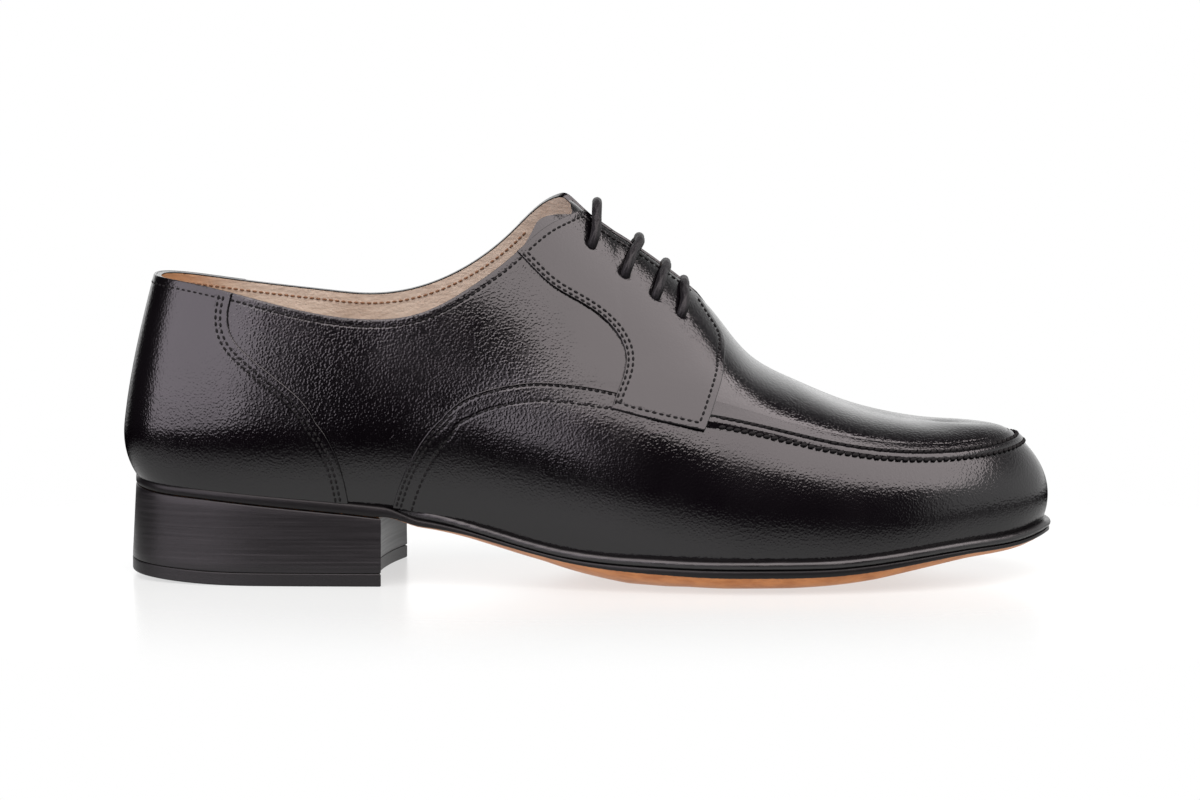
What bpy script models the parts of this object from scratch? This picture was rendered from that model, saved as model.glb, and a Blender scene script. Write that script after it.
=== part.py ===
"""A right leather shoe: an apron-toe derby standing on its sole and stacked heel.

Toe along +X, outer (lateral) side along -Y, inner (medial) side along +Y, up along +Z, in metres.
The origin is on the floor, under the middle of the shoe.
"""

import math

import bmesh
import bpy
import numpy as np
from mathutils import Vector

# Driving sizes of the shoe
LENGTH = 0.300
BALL_WIDTH = 0.100
INSTEP_HEIGHT = 0.100
HEEL_SEAT = 0.0323
BALL_SEAT = 0.0107
TOE_SPRING = 0.0088
SEAT_GAP = 0.0003

# Upper
WALL = 0.0018
STEP = 0.0011
STEP_BITE = 0.0005
SEAM_WIDTH = 0.0030
SEAM_RISE = 0.0010
SEAM_START = 0.199
WING_FOOT = 0.03
PANEL_FOOT = 0.06
WING_TOP = 1.25
THROAT_GAP = 0.019
THROAT_FRONT = 0.1925
THROAT_ROUND = 0.009
THROAT_LEAST = 0.0015
THROAT_BACK = 0.120
RIDGE_SNAP = 0.0004
PANEL = 0.0013
PANEL_GAP = 0.0005

# Tongue
TONGUE_THICK = 0.0022
TONGUE_GAP = 0.0012
TONGUE_CROWN = 0.0012
TONGUE_INNER = 0.0105

# Laces
LACE_RADIUS = 0.00145
EYELET_ACROSS = 0.0205
BAR_POINTS = 17

# Bottom
WELT_THICK = 0.0022
WELT_REACH = 0.0024
WELT_INWARD = 0.011
WELT_START = 0.084
WELT_TAPER = 0.012
SOLE_REACH = 0.0020
HEEL_REACH = 0.0010
EDGE_BEVEL = 0.0030
BELLY_INSET = 0.013
INSOLE_THICK = 0.0024
INSOLE_INSET = 0.0010
WELT_SKIVE = 0.42
REACH_START = 0.070
REACH_END = 0.105

# Heel
HEEL_LENGTH = 0.0807
BREAST_HOLLOW = 0.0045
BREAST_SKEW = 0.0050
LIFT_THICK = 0.0042
HEEL_PITCH = 0.0022
PITCH_START = 0.042
HEEL_FLARE = 0.0014
BREAST_FADE = 6

# Mesh steps
RIBS = 42
RIB_CLOSING = 0.25
WALL_ROWS = 5
CROWN_ROWS = 6
HEEL_STATIONS = 14
HEEL_ACROSS = 8
SEAM_RIBS = 45
TONGUE_ACROSS = 9
WELD = 2e-6
SOFT_ANGLE = 35
SEARCH_PARTS = 24
HALVINGS = 30
TANGENT_STEP = 1e-3
RISE_STEP = 5e-3
RIDGE_W = 1.985
STEEPEST_RIDGE = 2.0
TINY = 1e-9

# One row for each station round the last, from the back of the heel to the tip of the toe.
# x is a share of LENGTH, out and in are shares of BALL_WIDTH to the outer and inner side.
# seat is a share of the heel's rise and spring of the toe spring, both above the ball's seat.
# mid_up and top_up are shares of INSTEP_HEIGHT. bulge swells the wall above its foot,
# and crown is 1 where the top of the rib lies on the ridge and 0 where it stands up as a collar.
COLUMNS = (
    "foot_x", "foot_out", "foot_in", "seat", "spring",
    "mid_x", "mid_out", "mid_in", "mid_up",
    "top_x", "top_out", "top_in", "top_up", "bulge", "crown",
)
STATIONS = (
    (0.012, 0.000, 0.000, 1.04, 0.00, 0.000, 0.000, 0.000, 0.500, 0.040, 0.000, 0.000, 1.050, 0.10, 0.0),
    (0.024, 0.152, 0.145, 1.01, 0.00, 0.012, 0.165, 0.158, 0.502, 0.050, 0.125, 0.120, 1.045, 0.05, 0.0),
    (0.073, 0.250, 0.238, 0.95, 0.00, 0.066, 0.277, 0.262, 0.510, 0.100, 0.222, 0.215, 1.020, 0.00, 0.0),
    (0.150, 0.290, 0.278, 0.86, 0.00, 0.150, 0.325, 0.308, 0.520, 0.180, 0.265, 0.258, 0.985, 0.00, 0.0),
    (0.250, 0.300, 0.280, 0.74, 0.00, 0.252, 0.345, 0.320, 0.530, 0.270, 0.275, 0.262, 0.985, 0.00, 0.0),
    (0.352, 0.318, 0.268, 0.54, 0.00, 0.352, 0.372, 0.330, 0.545, 0.350, 0.262, 0.245, 1.080, 0.00, 0.0),
    (0.465, 0.380, 0.292, 0.14, 0.00, 0.452, 0.412, 0.365, 0.570, 0.440, 0.120, 0.110, 1.300, 0.00, 0.2),
    (0.567, 0.448, 0.378, 0.02, 0.00, 0.548, 0.427, 0.408, 0.585, 0.530, 0.000, 0.000, 1.124, 0.00, 0.8),
    (0.615, 0.469, 0.422, 0.00, 0.00, 0.598, 0.421, 0.413, 0.570, 0.588, 0.000, 0.000, 0.975, 0.00, 1.0),
    (0.663, 0.482, 0.455, 0.00, 0.00, 0.645, 0.412, 0.412, 0.545, 0.632, 0.000, 0.000, 0.850, 0.00, 1.0),
    (0.710, 0.478, 0.467, 0.00, 0.00, 0.697, 0.399, 0.402, 0.508, 0.670, 0.000, 0.000, 0.712, 0.00, 1.0),
    (0.757, 0.464, 0.470, 0.01, 0.00, 0.748, 0.382, 0.390, 0.470, 0.715, 0.000, 0.000, 0.632, 0.00, 1.0),
    (0.843, 0.402, 0.428, 0.00, 0.30, 0.835, 0.322, 0.340, 0.430, 0.775, 0.000, 0.000, 0.552, 0.02, 1.0),
    (0.908, 0.305, 0.340, 0.00, 0.50, 0.898, 0.236, 0.260, 0.427, 0.825, 0.000, 0.000, 0.510, 0.10, 1.0),
    (0.963, 0.182, 0.212, 0.00, 0.64, 0.942, 0.132, 0.152, 0.440, 0.858, 0.000, 0.000, 0.497, 0.22, 1.0),
    (0.9905, 0.000, 0.000, 0.00, 0.84, 0.960, 0.000, 0.000, 0.451, 0.872, 0.000, 0.000, 0.492, 0.34, 1.0),
)

# Top line of the collar, as shares of LENGTH and INSTEP_HEIGHT, on the outer and the inner side
TOPLINE = {
    "outer": (
        (-0.05, 0.985), (0.035, 0.972), (0.105, 0.941), (0.186, 0.882), (0.267, 0.850), (0.327, 0.877),
        (0.381, 0.966), (0.416, 1.043), (0.456, 1.140), (0.483, 1.174), (0.500, 1.215), (0.530, 1.450),
    ),
    "inner": (
        (-0.05, 0.985), (0.035, 0.972), (0.105, 0.938), (0.215, 0.895), (0.256, 0.885), (0.311, 0.907),
        (0.367, 0.982), (0.413, 1.091), (0.452, 1.200), (0.472, 1.226), (0.490, 1.255), (0.520, 1.450),
    ),
}

# Outlines of the laid-on panels, seen from the side, as shares of LENGTH and INSTEP_HEIGHT
FACING_OUTLINE = (
    (0.405, 1.120), (0.420, 1.035), (0.455, 0.985), (0.500, 0.896), (0.528, 0.825), (0.541, 0.753),
    (0.540, 0.680), (0.534, 0.625), (0.523, 0.584), (0.570, 0.550), (0.623, 0.511), (0.633, 0.620),
    (0.643, 0.740), (0.6445, 0.800), (0.637, 0.860), (0.625, 0.960), (0.560, 1.200), (0.470, 1.400),
)
COUNTER_OUTLINE = (
    (0.109, 1.200), (0.109, 0.919), (0.106, 0.876), (0.109, 0.811), (0.135, 0.723), (0.163, 0.657),
    (0.190, 0.583), (0.207, 0.508), (0.223, 0.416), (0.239, 0.286), (0.250, 0.150), (-0.060, 0.150),
    (-0.060, 1.200),
)
WING_OUTLINE = (
    (0.521, 0.635), (0.467, 0.659), (0.435, 0.661), (0.391, 0.637), (0.348, 0.570), (0.316, 0.455),
    (0.294, 0.322), (0.285, 0.261), (0.283, 0.150), (0.450, 0.020), (0.655, 0.020), (0.655, 0.480),
    (0.570, 0.535), (0.517, 0.572),
)
WING_FADE = (0.500, 0.633)

# Section of the welt: shares of WELT_REACH outward or of WELT_INWARD inward, and of its height
WELT_SECTION = ((-1.0, 0.0), (0.80, 0.0), (1.0, 0.25), (1.0, 0.75), (0.75, 1.0), (-1.0, 1.0))

# Tongue from its front to its top: x as a share of LENGTH, half width as a share of BALL_WIDTH,
# and how far it has sunk into the foot's place, as a share of INSTEP_HEIGHT
TONGUE_ROWS = (
    (0.700, 0.20, 0.0), (0.675, 0.22, 0.0), (0.655, 0.23, 0.0), (0.637, 0.24, 0.0),
    (0.617, 0.24, 0.0), (0.590, 0.24, 0.0), (0.560, 0.24, 0.0), (0.530, 0.24, 0.0),
    (0.500, 0.24, 0.010), (0.475, 0.24, 0.035), (0.450, 0.22, 0.075),
)

# Where a lace bar is held: shares of EYELET_ACROSS from the middle, and how far forward in metres
LACE_KNOTS = ((1.0, 0.0), (0.75, 0.0005), (0.52, 0.0012))

# Eyelets on the facings, as shares of LENGTH, at EYELET_ACROSS from the middle
EYELETS = (0.503, 0.541, 0.574, 0.605)

# Bottom of the sole along the shoe: x as a share of LENGTH, then in metres the height of the
# squared edge, that of the slope below it, and how far the middle hangs below the slope
SOLE_ROWS = (
    (0.000, 0.0028, 0.0001, 0.0001),
    (0.270, 0.0037, 0.0001, 0.0001),
    (0.310, 0.0022, 0.0008, 0.0010),
    (0.370, 0.0015, 0.0010, 0.0018),
    (0.450, 0.0012, 0.0013, 0.0024),
    (0.540, 0.0020, 0.0026, 0.0034),
    (0.640, 0.0026, 0.0030, 0.0028),
    (0.710, 0.0026, 0.0030, 0.0026),
    (0.800, 0.0022, 0.0028, 0.0018),
    (0.900, 0.0014, 0.0018, 0.0012),
    (1.010, 0.0012, 0.0012, 0.0008),
)

# Colour, roughness and metallic value of each finish
FINISHES = {
    "black_leather": ((0.022, 0.021, 0.023), 0.42, 0.0),
    "sock_leather": ((0.46, 0.27, 0.14), 0.60, 0.0),
    "black_edge": ((0.016, 0.015, 0.016), 0.30, 0.0),
    "sole_leather": ((0.47, 0.21, 0.08), 0.55, 0.0),
    "heel_black": ((0.018, 0.017, 0.017), 0.28, 0.0),
    "lift_rubber": ((0.030, 0.030, 0.031), 0.70, 0.0),
    "waxed_cord": ((0.030, 0.026, 0.027), 0.45, 0.0),
}


def clear_scene():
    for item in list(bpy.data.objects):
        bpy.data.objects.remove(item, do_unlink=True)


def finish(name):
    """The material of this name, made once."""
    found = bpy.data.materials.get(name)
    if found:
        return found
    colour, roughness, metallic = FINISHES[name]
    material = bpy.data.materials.new(name)
    material.use_nodes = True
    shader = material.node_tree.nodes["Principled BSDF"]
    shader.inputs["Base Color"].default_value = (*colour, 1.0)
    shader.inputs["Roughness"].default_value = roughness
    shader.inputs["Metallic"].default_value = metallic
    return material


def add_object(name, mesh, material=None):
    item = bpy.data.objects.new(name, mesh)
    bpy.context.scene.collection.objects.link(item)
    if material:
        mesh.materials.append(finish(material))
    return item


def hide_helper(item):
    item.hide_render = True
    item.display_type = "WIRE"


def curve_through(knots, values, period=None):
    """A smooth cubic through the values at the knots: a function of the knot parameter."""
    knots = np.asarray(knots, float)
    values = np.asarray(values, float)
    if period:
        knots = np.append(knots, knots[0] + period)
        values = np.vstack([values, values[:1]])
    steps = np.diff(knots)
    slopes = np.diff(values, axis=0) / steps[:, None]
    count = len(knots)
    system = np.zeros((count, count))
    wanted = np.zeros_like(values)
    for i in range(1, count - 1):
        system[i, i - 1 : i + 2] = steps[i], 2 * (steps[i - 1] + steps[i]), steps[i - 1]
        wanted[i] = 3 * (steps[i] * slopes[i - 1] + steps[i - 1] * slopes[i])
    if period:
        system[0, [0, 1, -2]] = 2 * (steps[0] + steps[-1]), steps[-1], steps[0]
        wanted[0] = 3 * (steps[-1] * slopes[0] + steps[0] * slopes[-1])
        system[-1, [0, -1]] = 1, -1
    else:
        system[0, :2] = 2, 1
        system[-1, -2:] = 1, 2
        wanted[0], wanted[-1] = 3 * slopes[0], 3 * slopes[-1]
    tangents = np.linalg.solve(system, wanted)

    def at(where):
        if period:
            where = knots[0] + (where - knots[0]) % period
        i = int(np.clip(np.searchsorted(knots, where) - 1, 0, count - 2))
        u = (where - knots[i]) / steps[i]
        return hermite(values[i], values[i + 1], tangents[i] * steps[i], tangents[i + 1] * steps[i], u)

    return at


def hermite(start, end, leave, arrive, u):
    square, cube = u * u, u * u * u
    rest = start * (2 * cube - 3 * square + 1) + end * (3 * square - 2 * cube)
    return rest + leave * (cube - 2 * square + u) + arrive * (cube - square)


def unit(vector):
    return vector / max(np.linalg.norm(vector), 1e-12)


class Last:
    """The form of the shoe: ribs that rise from the feather line to the ridge or the collar."""

    def __init__(self):
        rows = [dict(zip(COLUMNS, row)) for row in STATIONS]
        outer = [self.keys(row, "out", -1) for row in rows]
        inner = [self.keys(row, "in", 1) for row in rows]
        middle = (np.array(outer)[:, :2] + np.array(inner)[:, :2] * (1, -1)) / 2
        lengths = np.linalg.norm(np.diff(middle, axis=0), axis=1)
        self.knots = np.concatenate([[0], np.cumsum(lengths)])
        self.half = self.knots[-1]
        back = (2 * self.half - self.knots[1:-1])[::-1]
        ring = np.concatenate([self.knots, back])
        loop = outer + inner[1:-1][::-1]
        self.ring = curve_through(ring, np.array(loop), period=2 * self.half)
        feather = [(row["foot_x"] * LENGTH, self.seat_height(row)) for row in rows]
        self.feather = curve_through([x for x, _ in feather], [[z] for _, z in feather])
        self.feather_ends = feather[0][0], feather[-1][0]

    @staticmethod
    def seat_height(row):
        return BALL_SEAT + row["seat"] * (HEEL_SEAT - BALL_SEAT) + row["spring"] * TOE_SPRING

    def keys(self, row, side, sign):
        """Foot, middle and top of the rib at this station, then its bulge and crown."""
        foot = row["foot_x"] * LENGTH, sign * row["foot_" + side] * BALL_WIDTH, self.seat_height(row)
        mid = row["mid_x"] * LENGTH, sign * row["mid_" + side] * BALL_WIDTH, row["mid_up"] * INSTEP_HEIGHT
        top = row["top_x"] * LENGTH, sign * row["top_" + side] * BALL_WIDTH, row["top_up"] * INSTEP_HEIGHT
        return (*foot, *mid, *top, row["bulge"], row["crown"])

    def seat(self, x):
        """Height of the feather line at x."""
        return float(self.feather(min(max(x, self.feather_ends[0]), self.feather_ends[1]))[0])

    def outward(self, t):
        """Direction in plan that points away from the foot of the rib at t."""
        step = self.half * TANGENT_STEP
        along = (self.ring(t + step) - self.ring(t - step))[:2]
        return unit(np.array([along[1], -along[0], 0.0]))

    def rib(self, t):
        """The rib at t as a function of w: 0 at the foot, 1 at its middle, 2 at the top."""
        keys = self.ring(t)
        foot, mid, top, (bulge, crown) = keys[:3], keys[3:6], keys[6:9], keys[9:]
        side = -1 if t % (2 * self.half) <= self.half else 1
        top[1] = top[1] if side * top[1] > RIDGE_SNAP else 0.0
        low, high = np.linalg.norm(mid - foot), np.linalg.norm(top - mid)
        lean = unit(top - foot)
        leave = 2 * (mid - foot) - lean * low + self.outward(t) * bulge * low
        standing = 1.5 * (top - mid) - 0.5 * lean * high
        across = np.array([top[0] - mid[0], top[1] - mid[1], 0.0])
        across[2] = across[0] * self.ridge_slope(t)
        crown = min(max(crown, 0.0), 1.0)
        arrive = across * crown + standing * (1 - crown)

        def at(w):
            if w <= 1:
                return hermite(foot, mid, leave, lean * low, w)
            return hermite(mid, top, lean * high, arrive, w - 1)

        return at

    def ridge_slope(self, t):
        step = self.half * TANGENT_STEP
        rise = self.ring(t + step)[6:9] - self.ring(t - step)[6:9]
        if abs(rise[0]) < TINY:
            return 0.0
        return float(np.clip(rise[2] / rise[0], -STEEPEST_RIDGE, STEEPEST_RIDGE))

    def normal(self, t, w):
        """Outward direction of the surface at t and w."""
        rib = self.rib(t)
        step = self.half * TANGENT_STEP
        if w > 2.0 - TANGENT_STEP and abs(rib(2.0)[1]) < TINY:
            from_end = min(t, 2 * self.half - t, self.half - 2 * step)
            rise = self.ring(from_end + step)[6:9] - self.ring(from_end - step)[6:9]
            return unit(np.array([-rise[2], 0.0, rise[0]]))
        w = min(max(w, 2 * RISE_STEP), RIDGE_W)
        along = self.rib(t + step)(w) - self.rib(t - step)(w)
        return unit(np.cross(along, rib(w + RISE_STEP) - rib(w - RISE_STEP)))

    def t_of_foot(self, x, side):
        """Where the foot of the rib on this side reaches x."""
        low, high = 0.0, self.half
        for _ in range(HALVINGS):
            middle = (low + high) / 2
            low, high = (middle, high) if self.ring(middle)[0] < x else (low, middle)
        return low if side < 0 else 2 * self.half - low


def topline_height(x, y):
    """Height of the collar's edge at x and y."""
    heights = []
    for side in ("outer", "inner"):
        points = TOPLINE[side]
        heights.append(CURVES[side](x / LENGTH)[0] * INSTEP_HEIGHT if x / LENGTH < points[-1][0] else 1.0)
    share = min(max(y / THROAT_GAP + 0.5, 0.0), 1.0)
    return heights[0] * (1 - share) + heights[1] * share


def throat_half(x):
    """Half the width of the throat slot at x: rounded at its front end, nothing beyond it."""
    start = THROAT_FRONT - THROAT_ROUND
    if x <= start:
        return THROAT_GAP / 2
    share = min((x - start) / THROAT_ROUND, 1.0)
    half = THROAT_GAP / 2 * math.sqrt(1 - share * share)
    return half if half > THROAT_LEAST else 0.0


def cut_away(point):
    """True where the wall is open: above the top line, or inside the throat slot."""
    x, y, z = point
    return z > topline_height(x, y) or (x > THROAT_BACK and abs(y) < throat_half(x))


def first_true(test, low, high):
    """The lowest w between low and high where the test turns true, or high where it never does."""
    before = low
    for w in np.linspace(low, high, SEARCH_PARTS + 1)[1:]:
        if test(w):
            for _ in range(HALVINGS):
                middle = (before + w) / 2
                before, w = (before, middle) if test(middle) else (middle, w)
            return w
        before = w
    return high


def top_of(last, t):
    """How far up its rib the wall reaches at t."""
    rib = last.rib(t)
    return first_true(lambda w: cut_away(rib(w)), 1.0, 2.0)


def shell(last, columns, lower, upper, closed=False):
    """A closed skin on the last. Each column lists its (t, w) points from the low edge to the high one.

    lower and upper give the distance of the two faces from the last at a point of it.
    """
    mesh = bmesh.new()
    sheets = []
    for distance in (upper, lower):
        sheet = []
        for column in columns:
            points = [(last.rib(t)(w), last.normal(t, w)) for t, w in column]
            sheet.append([mesh.verts.new(point + normal * distance(point)) for point, normal in points])
        sheets.append(sheet + sheet[:1] if closed else sheet)
    outer, inner = sheets
    for i in range(len(outer) - 1):
        for j in range(len(outer[i]) - 1):
            mesh.faces.new((outer[i][j], outer[i + 1][j], outer[i + 1][j + 1], outer[i][j + 1]))
            mesh.faces.new((inner[i][j], inner[i][j + 1], inner[i + 1][j + 1], inner[i + 1][j]))
        mesh.faces.new((outer[i + 1][0], outer[i][0], inner[i][0], inner[i + 1][0]))
        if not (on_ridge(outer[i][-1]) and on_ridge(outer[i + 1][-1])):
            mesh.faces.new((outer[i][-1], outer[i + 1][-1], inner[i + 1][-1], inner[i][-1]))
    if not closed:
        for j in range(len(outer[0]) - 1):
            mesh.faces.new((outer[0][j], outer[0][j + 1], inner[0][j + 1], inner[0][j]))
            mesh.faces.new((inner[-1][j], inner[-1][j + 1], outer[-1][j + 1], outer[-1][j]))
    bmesh.ops.remove_doubles(mesh, verts=mesh.verts, dist=WELD)
    bmesh.ops.triangulate(mesh, faces=mesh.faces, quad_method="FIXED")
    return mesh


def on_ridge(vertex):
    return abs(vertex.co.y) < TINY


def mesh_object(name, mesh, material=None):
    bmesh.ops.recalc_face_normals(mesh, faces=mesh.faces)
    data = bpy.data.meshes.new(name)
    mesh.to_mesh(data)
    mesh.free()
    data.shade_smooth()
    data.set_sharp_from_angle(angle=math.radians(SOFT_ANGLE))
    return add_object(name, data, material)


def two_part_rows(low, high):
    """Rows up a rib, with one exactly on its middle line."""
    foot = np.linspace(low, 1.0, WALL_ROWS + 1)
    return np.concatenate([foot, np.linspace(1.0, high, CROWN_ROWS + 1)[1:]])


def ease(value, start, end):
    share = min(max((value - start) / (end - start), 0.0), 1.0)
    return share * share * (3 - 2 * share)


def rib_places(last, count=RIBS):
    """Rib parameters round the whole last, from the back of the heel over the outer side."""
    turns = [math.pi * i / count for i in range(2 * count)]
    closing = [turn - RIB_CLOSING * math.sin(2 * turn) / 2 for turn in turns]
    return [last.half * turn / math.pi for turn in closing]


def wall_mesh(last):
    columns = [[(t, w) for w in two_part_rows(0.0, top_of(last, t))] for t in rib_places(last)]
    return shell(last, columns, lambda point: -WALL, lambda point: 0.0, closed=True)


def welt_drop(x):
    """How far the outsole's upper face lies below the feather line at x, to make room for the welt."""
    return SEAT_GAP + (WELT_THICK + SEAT_GAP) * ease(x, WELT_START, WELT_START + WELT_TAPER)


def sole_reach(x):
    return HEEL_REACH + (SOLE_REACH - HEEL_REACH) * ease(x, REACH_START, REACH_END)


def sole_height(last, x, level):
    """Height of the outsole's outer face: level 0 is its upper face, then under the edge, bevel and belly."""
    parts = [np.interp(x / LENGTH, SOLE_X, column) for column in SOLE_PARTS]
    height = last.seat(x) - welt_drop(x) - sum(parts[:level])
    return max(height, 0.0) if level == 3 else height


def foot_ring(last, reach, count=RIBS):
    """Points in plan round the feather line, moved outward by reach, a function of x."""
    ring = []
    for t in rib_places(last, count):
        foot = last.ring(t)[:2]
        ring.append(foot + last.outward(t)[:2] * reach(foot[0]))
    return ring


def ring_body(rings):
    """A closed body through rings of equal count, its ends closed by strips across the shoe."""
    mesh = bmesh.new()
    levels = [[mesh.verts.new(point) for point in ring] for ring in rings]
    count = len(rings[0])
    for upper, lower in zip(levels, levels[1:]):
        for i in range(count):
            after = (i + 1) % count
            mesh.faces.new((lower[i], lower[after], upper[after], upper[i]))
    for level, turn in ((levels[0], 1), (levels[-1], -1)):
        for i in range(count // 2):
            corners = [level[i], level[i + 1], level[-i - 1], level[(count - i) % count]]
            corners = [v for n, v in enumerate(corners) if v not in corners[:n]]
            mesh.faces.new(corners[::turn])
    return mesh


def sole_mesh(last):
    insets = (0.0, 0.0, EDGE_BEVEL, BELLY_INSET)
    rings = []
    for level, inset in enumerate(insets):
        ring = foot_ring(last, lambda x: sole_reach(x) - inset)
        rings.append([(x, y, sole_height(last, x, level)) for x, y in ring])
    return ring_body(rings)


def insole_mesh(last):
    ring = foot_ring(last, lambda x: -WALL - INSOLE_INSET)
    rises = (INSOLE_THICK + SEAT_GAP, SEAT_GAP)
    return ring_body([[(x, y, last.seat(x) + rise) for x, y in ring] for rise in rises])


def welt_mesh(last):
    """A strip round the front of the shoe, rounded on its outer side, its ends thinned into the heel seat."""
    mesh = bmesh.new()
    start = WELT_START + WELT_TAPER * WELT_SKIVE
    first, end = last.t_of_foot(start, -1), last.t_of_foot(start, 1)
    hoops = []
    for t in [first] + [t for t in rib_places(last) if first < t < end] + [end]:
        foot, away = last.ring(t)[:2], last.outward(t)[:2]
        hoop = []
        for reach, share in WELT_SECTION:
            x, y = foot + away * (reach * WELT_REACH if reach > 0 else reach * WELT_INWARD)
            low = sole_height(last, x, 0) + SEAT_GAP
            high = last.seat(x) - SEAT_GAP
            hoop.append(mesh.verts.new((x, y, low + (high - low) * share)))
        hoops.append(hoop)
    count = len(WELT_SECTION)
    for one, two in zip(hoops, hoops[1:]):
        for j in range(count):
            after = (j + 1) % count
            mesh.faces.new((one[j], two[j], two[after], one[after]))
    mesh.faces.new(hoops[0])
    mesh.faces.new(hoops[-1][::-1])
    return mesh


def heel_grid(last, flare, height):
    """Points over the heel's outline, from the back to the hollowed breast, at a height given by x."""
    rows = []
    for i in range(HEEL_STATIONS + 1):
        share = i / HEEL_STATIONS
        row = []
        for j in range(HEEL_ACROSS + 1):
            across = j / HEEL_ACROSS
            breast = HEEL_LENGTH + BREAST_SKEW * across - BREAST_HOLLOW * 4 * across * (1 - across)
            ends = []
            for side in (-1, 1):
                corner = HEEL_LENGTH + (BREAST_SKEW if side > 0 else 0.0)
                t = last.t_of_foot(corner, side)
                back = 0.0 if side < 0 else 2 * last.half
                place = back + (t - back) * share
                foot = last.ring(place)[:2]
                ends.append(foot + last.outward(place)[:2] * (HEEL_REACH + flare))
            x, y = ends[0] * (1 - across) + ends[1] * across
            straight = HEEL_LENGTH + BREAST_SKEW * across
            x += (breast - straight) * share ** BREAST_FADE
            row.append((x, y, height(x)))
        rows.append(row)
    return rows


def slab_mesh(top, bottom):
    """A closed body between two grids of points of equal counts."""
    mesh = bmesh.new()
    high, low = [[[mesh.verts.new(point) for point in row] for row in grid] for grid in (top, bottom)]
    for i in range(len(high) - 1):
        for j in range(len(high[0]) - 1):
            mesh.faces.new((high[i][j], high[i + 1][j], high[i + 1][j + 1], high[i][j + 1]))
            mesh.faces.new((low[i][j + 1], low[i + 1][j + 1], low[i + 1][j], low[i][j]))
        for j, flip in ((0, 1), (-1, -1)):
            mesh.faces.new((high[i][j], low[i][j], low[i + 1][j], high[i + 1][j])[::flip])
    for i, flip in ((0, -1), (-1, 1)):
        for j in range(len(high[0]) - 1):
            mesh.faces.new((high[i][j], low[i][j], low[i][j + 1], high[i][j + 1])[::flip])
    bmesh.ops.remove_doubles(mesh, verts=mesh.verts, dist=WELD)
    return mesh


def pitch(x):
    """Height of the walking face at x: flat, and lifted a little at the very back."""
    return HEEL_PITCH * max((PITCH_START - x) / PITCH_START, 0.0) ** 2


def heel_meshes(last):
    seat = heel_grid(last, 0.0, lambda x: sole_height(last, x, 3) - SEAT_GAP)
    foot = heel_grid(last, HEEL_FLARE, lambda x: pitch(x) + LIFT_THICK + SEAT_GAP)
    lift_top = heel_grid(last, HEEL_FLARE, lambda x: pitch(x) + LIFT_THICK)
    ground = heel_grid(last, HEEL_FLARE, pitch)
    return slab_mesh(seat, foot), slab_mesh(lift_top, ground)


def place_on(last, x, y):
    """Rib parameter and w of the point of the upper half of the last at x and y."""
    side = -1 if y < 0 else 1

    def height_at(t):
        rib = last.rib(t)
        return first_true(lambda w: abs(rib(w)[1]) <= abs(y), 1.0, 2.0)

    low, high = 0.0, last.half
    for _ in range(HALVINGS):
        middle = (low + high) / 2
        t = middle if side < 0 else 2 * last.half - middle
        low, high = (middle, high) if last.rib(t)(height_at(t))[0] < x else (low, middle)
    t = low if side < 0 else 2 * last.half - low
    return t, height_at(t)


def above(last, x, y, distance):
    t, w = place_on(last, x, y)
    return last.rib(t)(w) + last.normal(t, w) * distance


def prism(name, outline, sides):
    """A cutter: an outline in x and z, run across the shoe from the first side to the last."""
    low_y, high_y = (side * BALL_WIDTH for side in sides)
    mesh = bmesh.new()
    near = [mesh.verts.new((x * LENGTH, low_y, z * INSTEP_HEIGHT)) for x, z in outline]
    face = mesh.faces.new(near)
    moved = bmesh.ops.extrude_face_region(mesh, geom=[face])["geom"]
    verts = [item for item in moved if isinstance(item, bmesh.types.BMVert)]
    bmesh.ops.translate(mesh, verts=verts, vec=(0.0, high_y - low_y, 0.0))
    cutter = mesh_object(name, mesh)
    hide_helper(cutter)
    return cutter


def boolean(item, operation, other):
    cut = item.modifiers.new(operation.lower() + "_" + other.name, "BOOLEAN")
    cut.operation = operation
    cut.object = other
    cut.solver = "EXACT"


def ribs_under(last, outline, places):
    """The run of ribs, of those at these places, that an outline lies over, and one more each way."""
    low, high = (limit(x for x, _ in outline) * LENGTH for limit in (min, max))
    reaches = [last.ring(t)[[0, 3, 6]] for t in places]
    under = [i for i, reach in enumerate(reaches) if min(reach) <= high and max(reach) >= low]
    return places[max(under[0] - 1, 0) : under[-1] + 2]


def side_places(last, side):
    """Rib parameters of one side, in order."""
    return [t for t in rib_places(last) if (t <= last.half) == (side < 0)]


def panel_rows(high):
    """Rows of a laid-on panel: the wall's own, but for the lowest, which stays clear of the sole."""
    rows = two_part_rows(0.0, high)
    rows[0] = PANEL_FOOT
    return rows


def facing_top(last, t):
    rib = last.rib(t)
    return first_true(lambda w: cut_away(rib(w)) or abs(rib(w)[1]) < THROAT_LEAST, 1.0, 2.0)


def laid_on(point):
    return PANEL_GAP


def laid_over(point):
    return PANEL_GAP + PANEL


def add_facing(last, name, side):
    places = ribs_under(last, FACING_OUTLINE, side_places(last, side))
    columns = [[(t, w) for w in panel_rows(facing_top(last, t))] for t in places]
    facing = mesh_object(name, shell(last, columns, laid_on, laid_over), "black_leather")
    boolean(facing, "INTERSECT", prism(name + "_outline", FACING_OUTLINE, sorted((0, side))))


def add_counter(last):
    lateral = ribs_under(last, COUNTER_OUTLINE, side_places(last, -1))
    medial = ribs_under(last, COUNTER_OUTLINE, side_places(last, 1))
    around = [t - 2 * last.half for t in medial] + lateral
    columns = [[(t, w) for w in panel_rows(top_of(last, t))] for t in around]
    counter = mesh_object("counter", shell(last, columns, laid_on, laid_over), "black_leather")
    boolean(counter, "INTERSECT", prism("counter_outline", COUNTER_OUTLINE, (-1, 1)))


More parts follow.
